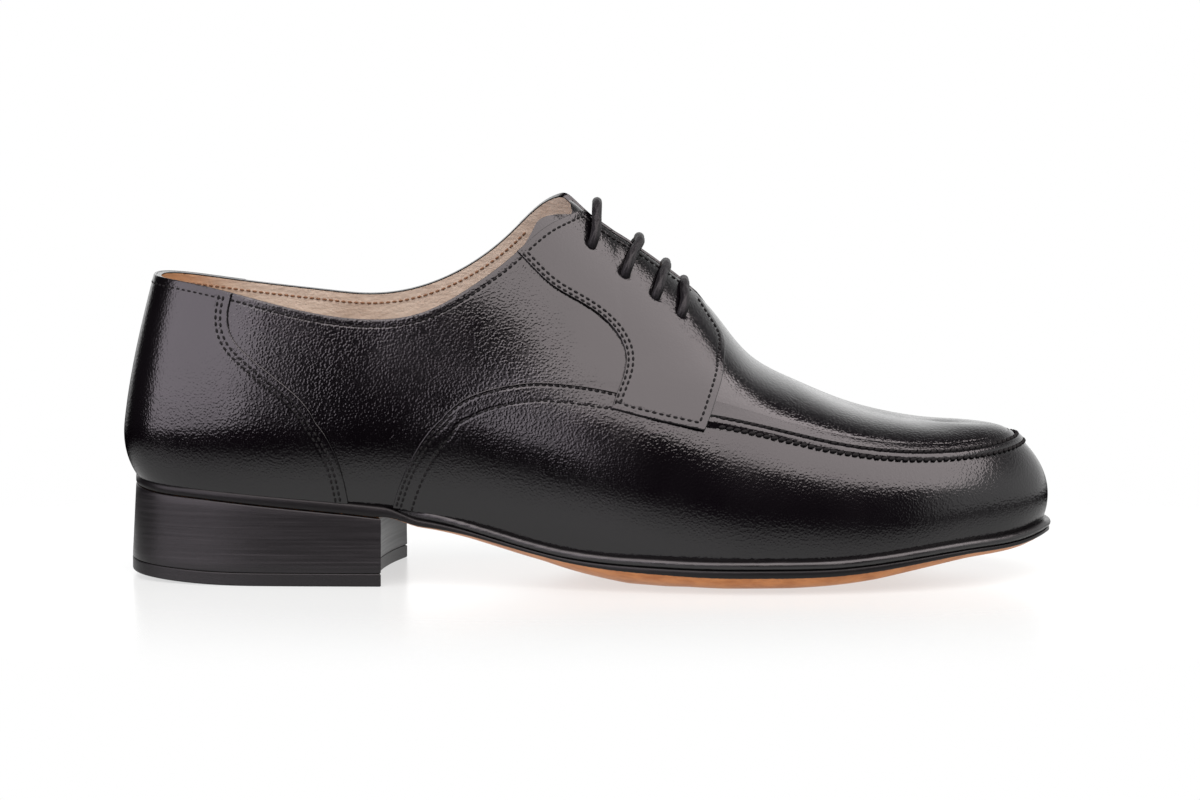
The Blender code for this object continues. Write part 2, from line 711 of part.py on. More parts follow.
def add_wing(last, name, side):
    """The rear end of the vamp over the quarter, as a step of the wall that fades out below the facing."""
    places = ribs_under(last, WING_OUTLINE, side_places(last, side))
    columns = [[(t, w) for w in two_part_rows(WING_FOOT, WING_TOP)] for t in places]
    fade_start, fade_end = (share * LENGTH for share in WING_FADE)

    def over(point):
        return STEP - (STEP + STEP_BITE / 2) * ease(point[0], fade_start, fade_end)

    wing = mesh_object(name, shell(last, columns, lambda point: -STEP_BITE, over))
    hide_helper(wing)
    boolean(wing, "INTERSECT", prism(name + "_outline", WING_OUTLINE, sorted((0, side))))
    return wing


def add_apron_seam(last):
    """The raised seam round the apron, from facing to facing round the toe."""
    columns = []
    for t in np.linspace(last.t_of_foot(SEAM_START, -1), last.t_of_foot(SEAM_START, 1), SEAM_RIBS):
        rib = last.rib(t)
        reach = SEAM_WIDTH / np.linalg.norm(rib(1.0) - rib(0.0))
        columns.append([(t, w) for w in (1.0 - reach, 1.0 - reach / 2, 1.0)])
    seam = mesh_object("apron_seam", shell(last, columns, lambda point: -STEP_BITE, lambda point: SEAM_RISE))
    hide_helper(seam)
    return seam


def add_tongue(last):
    """The tongue, just under the wall, with a crown of its own where it bridges the throat."""
    rows = []
    for x, half, sunk in TONGUE_ROWS:
        sides = np.linspace(TONGUE_INNER, half * BALL_WIDTH, TONGUE_ACROSS // 2)
        across = np.concatenate([-sides[::-1], [0.0], sides])
        depth = np.array([0.0, 0.0, sunk * INSTEP_HEIGHT])
        row = {y: above(last, x * LENGTH, y, -WALL - TONGUE_GAP) - depth for y in across if y}
        near, far = row[sides[0]], row[-sides[0]]
        row[0.0] = (near + far) / 2 + np.array([0.0, 0.0, TONGUE_CROWN])
        rows.append([row[y] for y in across])
    middle = len(rows[0]) // 2
    along = [unit(b[middle] - a[middle]) for a, b in zip(rows, rows[1:])]
    along.append(along[-1])
    under = []
    for row, way in zip(rows, along):
        down = np.array([-way[2], 0.0, way[0]])
        under.append([point + down * TONGUE_THICK for point in row])
    mesh_object("tongue", slab_mesh(rows, under), "black_leather")


def add_lace_bar(last, number, x):
    clear = PANEL_GAP + PANEL + SEAT_GAP + LACE_RADIUS
    knots, points = [], []
    for across, forward in LACE_KNOTS:
        for side in (-1, 1):
            y = side * across * EYELET_ACROSS
            point = above(last, x + forward, y, clear)
            knots.append(point[1])
            points.append(point)
    order = np.argsort(knots)
    path = curve_through([knots[i] for i in order], [points[i] for i in order])
    low, high = min(knots), max(knots)
    data = bpy.data.curves.new(f"lace_bar_{number}", "CURVE")
    data.dimensions = "3D"
    data.bevel_depth = LACE_RADIUS
    data.bevel_resolution = 2
    data.use_fill_caps = True
    spline = data.splines.new("POLY")
    spline.points.add(BAR_POINTS - 1)
    for target, y in zip(spline.points, np.linspace(low, high, BAR_POINTS)):
        target.co = (*path(y), 1.0)
    data.materials.append(finish("waxed_cord"))
    item = bpy.data.objects.new(data.name, data)
    bpy.context.scene.collection.objects.link(item)


def centre_on_floor():
    """Hangs every piece on one empty and moves it, so that the origin is under the middle of the shoe."""
    graph = bpy.context.evaluated_depsgraph_get()
    meshes = [item for item in bpy.context.scene.collection.objects if item.type == "MESH"]
    pieces = [item for item in meshes if not item.hide_render]
    corners = [Vector(corner) for item in pieces for corner in item.evaluated_get(graph).bound_box]
    middle = [(min(c[k] for c in corners) + max(c[k] for c in corners)) / 2 for k in (0, 1)]
    shoe = bpy.data.objects.new("shoe", None)
    bpy.context.scene.collection.objects.link(shoe)
    for item in list(bpy.context.scene.collection.objects):
        if item is not shoe:
            item.parent = shoe
    shoe.location = (-middle[0], -middle[1], 0.0)


def main():
    clear_scene()
    last = Last()
    upper = mesh_object("upper", wall_mesh(last), "black_leather")
    boolean(upper, "UNION", add_wing(last, "wing_lateral", -1))
    boolean(upper, "UNION", add_wing(last, "wing_medial", 1))
    boolean(upper, "UNION", add_apron_seam(last))
    add_facing(last, "facing_lateral", -1)
    add_facing(last, "facing_medial", 1)
    add_counter(last)
    add_tongue(last)
    mesh_object("insole", insole_mesh(last), "sock_leather")
    mesh_object("welt", welt_mesh(last), "black_edge")
    mesh_object("outsole", sole_mesh(last), "sole_leather")
    heel, lift = heel_meshes(last)
    mesh_object("heel_stack", heel, "heel_black")
    mesh_object("heel_top_piece", lift, "lift_rubber")
    for number, share in enumerate(EYELETS, 1):
        add_lace_bar(last, number, share * LENGTH)
    centre_on_floor()


CURVES = {
    side: curve_through([x for x, _ in points], [[z] for _, z in points]) for side, points in TOPLINE.items()
}
SOLE_X, *SOLE_PARTS = zip(*SOLE_ROWS)

main()
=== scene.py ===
"""Studio scene of a right leather shoe: an apron-toe derby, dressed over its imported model.

The toe points along +X, the outer side faces -Y and up is +Z, in metres. Every piece of leather is
a grid of points laid on the shoe's last, whose ribs run from the feather line up to the ridge.
"""

import logging
import math
from dataclasses import dataclass, field
from enum import Enum
from typing import Callable, Sequence

import bmesh
import bpy
import numpy as np
from mathutils import Matrix, Vector, kdtree


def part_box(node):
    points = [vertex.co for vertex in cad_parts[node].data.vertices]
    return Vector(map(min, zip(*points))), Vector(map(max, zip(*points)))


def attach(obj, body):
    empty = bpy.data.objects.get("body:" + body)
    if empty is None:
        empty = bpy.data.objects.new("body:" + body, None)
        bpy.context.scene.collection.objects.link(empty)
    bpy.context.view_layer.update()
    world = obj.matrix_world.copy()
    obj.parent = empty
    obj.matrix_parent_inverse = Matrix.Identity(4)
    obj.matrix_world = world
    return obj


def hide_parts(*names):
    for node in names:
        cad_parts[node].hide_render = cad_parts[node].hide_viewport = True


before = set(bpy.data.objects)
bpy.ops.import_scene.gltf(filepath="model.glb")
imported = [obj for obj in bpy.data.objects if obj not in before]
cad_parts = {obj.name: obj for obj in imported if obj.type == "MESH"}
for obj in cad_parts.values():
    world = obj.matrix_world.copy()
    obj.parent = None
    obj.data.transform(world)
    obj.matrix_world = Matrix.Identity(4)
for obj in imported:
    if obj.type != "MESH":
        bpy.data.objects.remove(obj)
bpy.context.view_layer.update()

log = logging.getLogger("shoe")

Array = np.ndarray
Pair = tuple[Array, Array]
Line = Callable[[Array], Array]
Spots = Callable[[Array, Array], Pair]
Lift = Callable[[Array, Array, Array], Array]
Mesh = bmesh.types.BMesh
Socket = bpy.types.NodeSocket
Material = bpy.types.Material

# One row for each station round the last, from the back of the heel to the tip of the toe.
# x is a share of the length, out and in are shares of the ball width to the outer and inner side.
# seat is a share of the heel's rise and spring of the toe spring, both above the ball's seat.
# mid_up and top_up are shares of the instep height. bulge swells the wall above its foot,
# and crown is 1 where the top of the rib lies on the ridge and 0 where it stands up as a collar.
COLUMNS = (
    "foot_x", "foot_out", "foot_in", "seat", "spring",
    "mid_x", "mid_out", "mid_in", "mid_up",
    "top_x", "top_out", "top_in", "top_up", "bulge", "crown",
)
STATIONS = (
    (0.012, 0.000, 0.000, 1.04, 0.00, 0.000, 0.000, 0.000, 0.500, 0.040, 0.000, 0.000, 1.050, 0.10, 0.0),
    (0.024, 0.152, 0.145, 1.01, 0.00, 0.012, 0.165, 0.158, 0.502, 0.050, 0.125, 0.120, 1.045, 0.05, 0.0),
    (0.073, 0.250, 0.238, 0.95, 0.00, 0.066, 0.277, 0.262, 0.510, 0.100, 0.222, 0.215, 1.020, 0.00, 0.0),
    (0.150, 0.290, 0.278, 0.86, 0.00, 0.150, 0.325, 0.308, 0.520, 0.180, 0.265, 0.258, 0.985, 0.00, 0.0),
    (0.250, 0.300, 0.280, 0.74, 0.00, 0.252, 0.345, 0.320, 0.530, 0.270, 0.275, 0.262, 0.985, 0.00, 0.0),
    (0.352, 0.318, 0.268, 0.54, 0.00, 0.352, 0.372, 0.330, 0.545, 0.350, 0.262, 0.245, 1.080, 0.00, 0.0),
    (0.465, 0.380, 0.292, 0.14, 0.00, 0.452, 0.412, 0.365, 0.570, 0.440, 0.120, 0.110, 1.300, 0.00, 0.2),
    (0.567, 0.448, 0.378, 0.02, 0.00, 0.548, 0.427, 0.408, 0.585, 0.530, 0.000, 0.000, 1.124, 0.00, 0.8),
    (0.615, 0.469, 0.422, 0.00, 0.00, 0.598, 0.421, 0.413, 0.570, 0.588, 0.000, 0.000, 0.975, 0.00, 1.0),
    (0.663, 0.482, 0.455, 0.00, 0.00, 0.645, 0.412, 0.412, 0.545, 0.632, 0.000, 0.000, 0.850, 0.00, 1.0),
    (0.710, 0.478, 0.467, 0.00, 0.00, 0.697, 0.399, 0.402, 0.508, 0.670, 0.000, 0.000, 0.712, 0.00, 1.0),
    (0.757, 0.464, 0.470, 0.01, 0.00, 0.748, 0.382, 0.390, 0.470, 0.715, 0.000, 0.000, 0.632, 0.00, 1.0),
    (0.843, 0.402, 0.428, 0.00, 0.30, 0.835, 0.322, 0.340, 0.430, 0.775, 0.000, 0.000, 0.552, 0.02, 1.0),
    (0.908, 0.305, 0.340, 0.00, 0.50, 0.898, 0.236, 0.260, 0.427, 0.825, 0.000, 0.000, 0.510, 0.10, 1.0),
    (0.963, 0.182, 0.212, 0.00, 0.64, 0.942, 0.132, 0.152, 0.440, 0.858, 0.000, 0.000, 0.497, 0.22, 1.0),
    (0.9905, 0.000, 0.000, 0.00, 0.84, 0.960, 0.000, 0.000, 0.451, 0.872, 0.000, 0.000, 0.492, 0.34, 1.0),
)

# Top line of the collar, as shares of the length and the instep height
TOPLINE = {
    "outer": (
        (-0.05, 0.985), (0.035, 0.972), (0.105, 0.941), (0.186, 0.882), (0.267, 0.850), (0.327, 0.877),
        (0.381, 0.966), (0.416, 1.043), (0.456, 1.140), (0.483, 1.174), (0.500, 1.215), (0.530, 1.450),
    ),
    "inner": (
        (-0.05, 0.985), (0.035, 0.972), (0.105, 0.938), (0.215, 0.895), (0.256, 0.885), (0.311, 0.907),
        (0.367, 0.982), (0.413, 1.091), (0.452, 1.200), (0.472, 1.226), (0.490, 1.255), (0.520, 1.450),
    ),
}


class Side(Enum):
    """A side of the shoe, by the sign of its Y."""

    OUTER = -1
    INNER = 1


def unit(vectors: Array) -> Array:
    """Scales rows of vectors to length one."""
    return vectors / np.maximum(np.linalg.norm(vectors, axis=-1, keepdims=True), 1e-12)


def ease(value: Array, start: float, end: float) -> Array:
    """A smooth step from 0 at start to 1 at end, read at each value."""
    share = np.clip((np.asarray(value, float) - start) / (end - start), 0.0, 1.0)
    return share * share * (3 - 2 * share)


def softened(values: Array, window: int) -> Array:
    """A rolling mean over a bell of window values, with the ends held."""
    bell = np.hanning(window)
    return np.convolve(np.pad(values, window // 2, "edge"), bell / bell.sum(), "valid")


def chord_lengths(points: Array) -> Array:
    """Length of the line up to each of its points."""
    return np.concatenate([[0.0], np.cumsum(np.linalg.norm(np.diff(points, axis=0), axis=1))])


def bump(value: Array, centre: float, reach: float) -> Array:
    """A soft rounded ridge of height 1 at centre that is gone at reach on both sides."""
    return np.cos(np.clip((np.asarray(value, float) - centre) / reach, -1, 1) * math.pi) / 2 + 0.5


def hermite(start: Array, end: Array, leave: Array, arrive: Array, share: Array) -> Array:
    """A cubic between two values with given tangents.

    Args:
        start: Value at share 0.
        end: Value at share 1.
        leave: Tangent at share 0.
        arrive: Tangent at share 1.
        share: Where to read the cubic.

    Returns:
        The value at each share.
    """
    square, cube = share * share, share * share * share
    rest = start * (2 * cube - 3 * square + 1) + end * (3 * square - 2 * cube)
    return rest + leave * (cube - 2 * square + share) + arrive * (cube - square)


class SmoothCurve:
    """A natural or closed cubic through values at rising knots."""

    def __init__(self, knots: Sequence[float], values: Sequence, period: float = 0.0) -> None:
        """Solves the tangents.

        Args:
            knots: Rising parameters.
            values: One row of numbers for each knot.
            period: Length of the closed curve, or 0 for an open one.
        """
        self.knots = np.asarray(knots, float)
        self.values = np.asarray(values, float)
        self.period = period
        if period:
            self.knots = np.append(self.knots, self.knots[0] + period)
            self.values = np.vstack([self.values, self.values[:1]])
        self.steps = np.diff(self.knots)
        slopes = np.diff(self.values, axis=0) / self.steps[:, None]
        count, steps = len(self.knots), self.steps
        system = np.zeros((count, count))
        wanted = np.zeros_like(self.values)
        for i in range(1, count - 1):
            system[i, i - 1 : i + 2] = steps[i], 2 * (steps[i - 1] + steps[i]), steps[i - 1]
            wanted[i] = 3 * (steps[i] * slopes[i - 1] + steps[i - 1] * slopes[i])
        if period:
            system[0, [0, 1, -2]] = 2 * (steps[0] + steps[-1]), steps[-1], steps[0]
            wanted[0] = 3 * (steps[-1] * slopes[0] + steps[0] * slopes[-1])
            system[-1, [0, -1]] = 1, -1
        else:
            system[0, :2] = 2, 1
            system[-1, -2:] = 1, 2
            wanted[0], wanted[-1] = 3 * slopes[0], 3 * slopes[-1]
        self.tangents = np.linalg.solve(system, wanted)

    def __call__(self, where: Array) -> Array:
        """Reads the curve.

        Args:
            where: Parameters.

        Returns:
            One row of values for each parameter.
        """
        where = np.atleast_1d(np.asarray(where, float))
        if self.period:
            where = self.knots[0] + (where - self.knots[0]) % self.period
        i = np.clip(np.searchsorted(self.knots, where) - 1, 0, len(self.steps) - 1)
        width = self.steps[i][:, None]
        share = ((where - self.knots[i]) / self.steps[i])[:, None]
        leave, arrive = self.tangents[i] * width, self.tangents[i + 1] * width
        return hermite(self.values[i], self.values[i + 1], leave, arrive, share)


def smooth_through(points: Sequence) -> SmoothCurve:
    """A curve through points, read from 0 to 1 by the length of its chords."""
    points = np.asarray(points, float)
    knots = chord_lengths(points)
    return SmoothCurve(knots / knots[-1], points)


@dataclass
class Last:
    """The form of the shoe, read by t round the shoe and w up its ribs.

    t runs in metres from the back of the heel along the outer side to the tip of the toe, at half,
    and back along the inner side. w is 0 at the feather line, 1 at the middle of the wall (the
    apron's edge in front) and 2 at the ridge or above the collar.
    """

    length: float = 0.300
    ball_width: float = 0.100
    instep_height: float = 0.100
    heel_seat: float = 0.0323
    ball_seat: float = 0.0107
    toe_spring: float = 0.0088
    throat_gap: float = 0.019
    throat_front: float = 0.1925
    throat_round: float = 0.009
    throat_back: float = 0.120
    sole_reach: float = 0.0020
    heel_reach: float = 0.0010
    reach_start: float = 0.070
    reach_end: float = 0.105
    ridge_snap: float = 0.0004
    tangent_step: float = 1e-3
    rise_step: float = 5e-3
    ridge_w: float = 1.985
    steepest: float = 2.0
    flat: float = 1e-9
    halvings: int = 30
    search_parts: int = 24
    search_rounds: int = 8
    search_nudge: tuple = (1e-5, 1e-4)
    search_stride: tuple = (0.004, 0.04)
    lowest: float = -0.05
    outline_count: int = 801
    table_size: tuple = (701, 81)
    rib_count: int = 100
    ridge_count: int = 2000

    def __post_init__(self) -> None:
        """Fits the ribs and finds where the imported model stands."""
        rows = [dict(zip(COLUMNS, row)) for row in STATIONS]
        outer = np.array([self._keys(row, "out", -1) for row in rows])
        inner = np.array([self._keys(row, "in", 1) for row in rows])
        middle = (outer[:, :2] + inner[:, :2] * (1, -1)) / 2
        self.knots = chord_lengths(middle)
        self.half = float(self.knots[-1])
        back = (2 * self.half - self.knots[1:-1])[::-1]
        loop = np.vstack([outer, inner[1:-1][::-1]])
        self.ring = SmoothCurve(np.concatenate([self.knots, back]), loop, period=2 * self.half)
        feather = [(row["foot_x"] * self.length, self._seat_height(row)) for row in rows]
        self.feather = SmoothCurve([x for x, _ in feather], [[z] for _, z in feather])
        self.feather_ends = feather[0][0], feather[-1][0]
        self.toplines = {
            side: SmoothCurve([x for x, _ in points], [[z] for _, z in points])
            for side, points in TOPLINE.items()
        }
        self.centre = self._centre()
        self._table = self._search_table()

    def _seat_height(self, row: dict) -> float:
        """Height of the feather line at a station."""
        rise = row["seat"] * (self.heel_seat - self.ball_seat)
        return self.ball_seat + rise + row["spring"] * self.toe_spring

    def _keys(self, row: dict, side: str, sign: int) -> tuple:
        """Foot, middle and top of the rib at a station, then its bulge and crown."""
        length, width, height = self.length, self.ball_width, self.instep_height
        foot = row["foot_x"] * length, sign * row["foot_" + side] * width, self._seat_height(row)
        mid = row["mid_x"] * length, sign * row["mid_" + side] * width, row["mid_up"] * height
        top = row["top_x"] * length, sign * row["top_" + side] * width, row["top_up"] * height
        return (*foot, *mid, *top, row["bulge"], row["crown"])

    def _centre(self) -> Array:
        """Offset from the last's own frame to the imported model's, read from the outsole's box."""
        low, high = (np.array(corner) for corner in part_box("outsole"))
        t = np.linspace(0, 2 * self.half, self.outline_count)
        foot = self.ring(t)[:, :2]
        edge = foot + self.outward(t)[:, :2] * self.reach(foot[:, 0])[:, None]
        middle = (edge.min(0) + edge.max(0)) / 2
        return np.array([*((low + high)[:2] / 2 - middle), 0.0])

    def _search_table(self) -> tuple:
        """Samples of the whole surface, from which a search starts."""
        around, up = self.table_size
        t, w = np.meshgrid(np.linspace(0, 2 * self.half, around), np.linspace(0, 2, up), indexing="ij")
        t, w = t.ravel(), w.ravel()
        return t, w, self.point(t, w)

    def seat(self, x: Array) -> Array:
        """Height of the feather line at x, in the last's own frame."""
        return self.feather(np.clip(x, *self.feather_ends))[:, 0]

    def reach(self, x: Array) -> Array:
        """How far the sole stands out past the feather line at x."""
        grown = ease(x, self.reach_start, self.reach_end)
        return self.heel_reach + (self.sole_reach - self.heel_reach) * grown

    def outward(self, t: Array) -> Array:
        """Direction in plan that points away from the foot of the rib at t."""
        step = self.half * self.tangent_step
        along = (self.ring(t + step) - self.ring(t - step))[:, :2]
        return unit(np.stack([along[:, 1], -along[:, 0], np.zeros(len(along))], axis=1))

    def point(self, t: Array, w: Array) -> Array:
        """Points of the last.

        Args:
            t: Places round the shoe.
            w: Places up the rib.

        Returns:
            One row of x, y, z for each pair, in the last's own frame.
        """
        t, w = np.broadcast_arrays(np.asarray(t, float), np.asarray(w, float))
        keys = self.ring(t)
        step = self.half * self.tangent_step
        rise = self.ring(t + step)[:, 6:9] - self.ring(t - step)[:, 6:9]
        foot, mid, top = keys[:, :3], keys[:, 3:6], keys[:, 6:9].copy()
        bulge, crown = keys[:, 9:10], keys[:, 10:]
        side = np.where(t % (2 * self.half) <= self.half, -1, 1)
        top[:, 1] = np.where(side * top[:, 1] > self.ridge_snap, top[:, 1], 0.0)
        low = np.linalg.norm(mid - foot, axis=1, keepdims=True)
        high = np.linalg.norm(top - mid, axis=1, keepdims=True)
        lean = unit(top - foot)
        leave = 2 * (mid - foot) - lean * low + self.outward(t) * bulge * low
        standing = 1.5 * (top - mid) - 0.5 * lean * high
        across = top - mid
        flat = np.abs(rise[:, 0]) < self.flat
        slope = np.clip(rise[:, 2] / np.where(flat, 1.0, rise[:, 0]), -self.steepest, self.steepest)
        across[:, 2] = across[:, 0] * np.where(flat, 0.0, slope)
        crown = np.clip(crown, 0.0, 1.0)
        arrive = across * crown + standing * (1 - crown)
        below = hermite(foot, mid, leave, lean * low, np.minimum(w, 1)[:, None])
        above = hermite(mid, top, lean * high, arrive, np.maximum(w - 1, 0)[:, None])
        return np.where((w <= 1)[:, None], below, above)

    def normal(self, t: Array, w: Array) -> Array:
        """Outward directions of the last.

        Args:
            t: Places round the shoe.
            w: Places up the rib.

        Returns:
            One unit vector for each pair.
        """
        t, w = np.broadcast_arrays(np.asarray(t, float), np.asarray(w, float))
        step = self.half * self.tangent_step
        held = np.clip(w, 2 * self.rise_step, self.ridge_w)
        along = self.point(t + step, held) - self.point(t - step, held)
        up = self.point(t, held + self.rise_step) - self.point(t, held - self.rise_step)
        normal = unit(np.cross(along, up))
        ridge = (w > 2 - self.tangent_step) & (np.abs(self.point(t, w)[:, 1]) < self.flat)
        turn = t % (2 * self.half)
        from_end = np.minimum(np.minimum(turn, 2 * self.half - turn), self.half - 2 * step)
        rise = self.ring(from_end + step)[:, 6:9] - self.ring(from_end - step)[:, 6:9]
        upright = unit(np.stack([-rise[:, 2], np.zeros(len(rise)), rise[:, 0]], axis=1))
        return np.where(ridge[:, None], upright, normal)

    def throat_half(self, x: Array) -> Array:
        """Half the width of the throat slot at x."""
        share = np.clip((x - self.throat_front + self.throat_round) / self.throat_round, 0.0, 1.0)
        return self.throat_gap / 2 * np.sqrt(1 - share * share)

    def cut_away(self, points: Array) -> Array:
        """Tells which points lie where the wall is open, above the top line or in the throat."""
        x, y, z = points.T
        heights = []
        for side in ("outer", "inner"):
            end = TOPLINE[side][-1][0]
            height = self.toplines[side](np.minimum(x / self.length, end))[:, 0] * self.instep_height
            heights.append(np.where(x / self.length < end, height, 1.0))
        share = np.clip(y / self.throat_gap + 0.5, 0.0, 1.0)
        topline = heights[0] * (1 - share) + heights[1] * share
        slot = (x > self.throat_back) & (x < self.throat_front) & (np.abs(y) < self.throat_half(x))
        return (z > topline) | slot

    def top_of(self, t: Array) -> Array:
        """How far up its rib the wall reaches at t.

        Args:
            t: Places round the shoe.

        Returns:
            The w of the wall's upper edge at each place.
        """
        t = np.atleast_1d(np.asarray(t, float))
        steps = np.linspace(1.0, 2.0, self.search_parts + 1)
        cut = np.stack([self.cut_away(self.point(t, np.full(len(t), w))) for w in steps])
        first = np.where(cut[1:].any(0), cut[1:].argmax(0), -1)
        low = steps[np.maximum(first, 0)]
        high = steps[np.maximum(first, 0) + 1]
        for _ in range(self.halvings):
            middle = (low + high) / 2
            inside = self.cut_away(self.point(t, middle))
            low, high = np.where(inside, low, middle), np.where(inside, middle, high)
        return np.where(first < 0, 2.0, low)

    def spot(self, target: Sequence[float], side: Side, plan: bool = False) -> Array:
        """Finds a place on one side of the last.

        Args:
            target: x and z in metres in the last's own frame, or x and y if plan is set.
            side: Which side to search.
            plan: Whether the target is seen from above.

        Returns:
            t and w of the place.
        """
        axes = [0, 1] if plan else [0, 2]
        target = np.asarray(target, float)
        t, w, points = self._table
        there = (t <= self.half) if side is Side.OUTER else (t >= self.half)
        if plan:
            there = there & (w >= 1)
        miss = np.linalg.norm(points[:, axes] - target, axis=1) + np.where(there, 0.0, 1.0)
        best = int(miss.argmin())
        place = np.array([t[best], w[best]])
        nudge, stride = np.array(self.search_nudge), np.array(self.search_stride)
        for _ in range(self.search_rounds):
            here = self.point(place[:1], place[1:])[0, axes]
            slopes = []
            for k in (0, 1):
                moved = place.copy()
                moved[k] += nudge[k]
                slopes.append((self.point(moved[:1], moved[1:])[0, axes] - here) / nudge[k])
            step = np.linalg.lstsq(np.array(slopes).T, target - here, rcond=None)[0]
            place += np.clip(step, -stride, stride)
            place[1] = min(max(place[1], self.lowest), 2.0)
        return place

    def spots(self, targets: Sequence, side: Side, plan: bool = False) -> Array:
        """Finds several places given in millimetres of the last's own frame."""
        return np.array([self.spot(np.asarray(target) / 1000, side, plan) for target in targets])

    def foot_at(self, x: float, side: Side) -> float:
        """The t where the foot of a rib on this side reaches x."""
        low, high = 0.0, self.half
        for _ in range(self.halvings):
            middle = (low + high) / 2
            low, high = (middle, high) if self.ring(middle)[0, 0] < x else (low, middle)
        return low if side is Side.OUTER else 2 * self.half - low

    def beside_ridge(self, t: float, y: float) -> float:
        """The w at which the rib at t comes within y of the ridge's plane."""
        w = np.linspace(1.0, 2.0, self.rib_count)
        across = np.abs(self.point(np.full(len(w), t), w)[:, 1])
        return float(np.interp(y, across[::-1], w[::-1]))

    def ridge_at(self, x: float) -> float:
        """The t of the outer side whose rib ends on the ridge at x."""
        t = np.linspace(0, self.half, self.ridge_count)
        return float(t[np.abs(self.ring(t)[:, 6] - x).argmin()])

    def mirrored(self, t: Array, side: Side) -> Array:
        """Turns a t of the outer side into that of the given side."""
        return t if side is Side.OUTER else 2 * self.half - t


class Slot(Enum):
    """The record's material slots."""

    BLACK_LEATHER = "black_leather"
    SOCK_LEATHER = "sock_leather"
    BLACK_EDGE = "black_edge"
    SOLE_LEATHER = "sole_leather"
    HEEL_BLACK = "heel_black"
    LIFT_RUBBER = "lift_rubber"
    WAXED_CORD = "waxed_cord"


class Tree:
    """A node tree, with short calls for the nodes that finishes and the world use."""

    def __init__(self, owner: Material | bpy.types.World) -> None:
        """Opens the tree of a material or a world."""
        owner.use_nodes = True
        self.tree = owner.node_tree

    def add(self, kind: str, **settings: object) -> bpy.types.Node:
        """Adds a node and sets its properties."""
        node = self.tree.nodes.new(kind)
        for key, value in settings.items():
            setattr(node, key, value)
        return node

    def feed(self, socket: Socket, value: object) -> None:
        """Links an output, or writes a plain value, into a socket."""
        if isinstance(value, Socket):
            self.tree.links.new(value, socket)
        else:
            socket.default_value = value

    def math(self, operation: str, *values: object) -> Socket:
        """A sum, product or other arithmetic on numbers."""
        node = self.add("ShaderNodeMath", operation=operation)
        for socket, value in zip(node.inputs, values):
            self.feed(socket, value)
        return node.outputs["Value"]

    def span(
        self, value: object, low: float, high: float, start: float = 0.0, end: float = 1.0,
    ) -> Socket:
        """Maps the range from low to high to that from start to end, with a smooth step."""
        node = self.add("ShaderNodeMapRange", interpolation_type="SMOOTHSTEP")
        names = "Value", "From Min", "From Max", "To Min", "To Max"
        for name, item in zip(names, (value, low, high, start, end)):
            self.feed(node.inputs[name], item)
        return node.outputs["Result"]

    def split(self, vector: object) -> bpy.types.NodeOutputs:
        """The X, Y and Z of a vector."""
        node = self.add("ShaderNodeSeparateXYZ")
        self.feed(node.inputs["Vector"], vector)
        return node.outputs


Finish = tuple[Material, Slot]


class Nodes(Tree):
    """A material's node tree."""

    def __init__(self, name: str) -> None:
        """Makes a new material and finds its shader."""
        self.material = bpy.data.materials.new(name)
        super().__init__(self.material)
        self.shader = self.tree.nodes["Principled BSDF"]

    def place(self, scale: Sequence[float] = (1, 1, 1)) -> Socket:
        """Object coordinates in metres, stretched."""
        where = self.add("ShaderNodeTexCoord")
        mapping = self.add("ShaderNodeMapping")
        self.feed(mapping.inputs["Vector"], where.outputs["Object"])
        mapping.inputs["Scale"].default_value = scale
        return mapping.outputs["Vector"]

    def uv(self) -> Socket:
        """The piece's own UV map."""
        return self.add("ShaderNodeUVMap", uv_map="UVMap").outputs["UV"]

    def attribute(self, name: str) -> Socket:
        """A number kept on the piece's points."""
        return self.add("ShaderNodeAttribute", attribute_name=name).outputs["Fac"]

    def noise(self, scale: float | tuple, detail: float = 2.0, rough: float = 0.5) -> Socket:
        """Soft noise from 0 to 1, with its repeats in a metre, or those along x, y and z."""
        node = self.add("ShaderNodeTexNoise")
        stretch, repeats = (scale, 1.0) if isinstance(scale, tuple) else ((1, 1, 1), scale)
        self.feed(node.inputs["Vector"], self.place(stretch))
        for name, value in (("Scale", repeats), ("Detail", detail), ("Roughness", rough)):
            node.inputs[name].default_value = value
        return node.outputs["Fac"]

    def cells(self, scale: float, smooth: float) -> Socket:
        """Distance to the nearest cell's middle, with soft borders."""
        node = self.add("ShaderNodeTexVoronoi", feature="SMOOTH_F1")
        self.feed(node.inputs["Vector"], self.place())
        node.inputs["Scale"].default_value = scale
        node.inputs["Smoothness"].default_value = smooth
        return node.outputs["Distance"]

    def blend(self, share: object, one: object, two: object) -> Socket:
        """Mixes two colours."""
        node = self.add("ShaderNodeMix", data_type="RGBA")
        self.feed(node.inputs["Factor"], share)
        for index, value in ((6, one), (7, two)):
            self.feed(node.inputs[index], (*value, 1.0) if isinstance(value, tuple) else value)
        return node.outputs[2]

    def shape(
        self, height: object, distance: float, under: object = None, strength: float = 1.0,
    ) -> Socket:
        """A bump of the given height in metres over another normal."""
        node = self.add("ShaderNodeBump")
        self.feed(node.inputs["Height"], height)
        node.inputs["Distance"].default_value = distance
        node.inputs["Strength"].default_value = strength
        if under is not None:
            self.feed(node.inputs["Normal"], under)
        return node.outputs["Normal"]

    def finish(
        self, colour: object, roughness: object, specular: float, normal: object = None, **inputs: object,
    ) -> Material:
        """Feeds the shader; further inputs go by name, with underscores for spaces."""
        inputs.update(Base_Color=colour, Roughness=roughness, Specular_IOR_Level=specular)
        if normal is not None:
            inputs["Normal"] = normal
        for name, value in inputs.items():
            socket = self.shader.inputs[name.replace("_", " ")]
            if isinstance(value, tuple):
                value = (*value, 1.0)
            self.feed(socket, value)
        return self.material


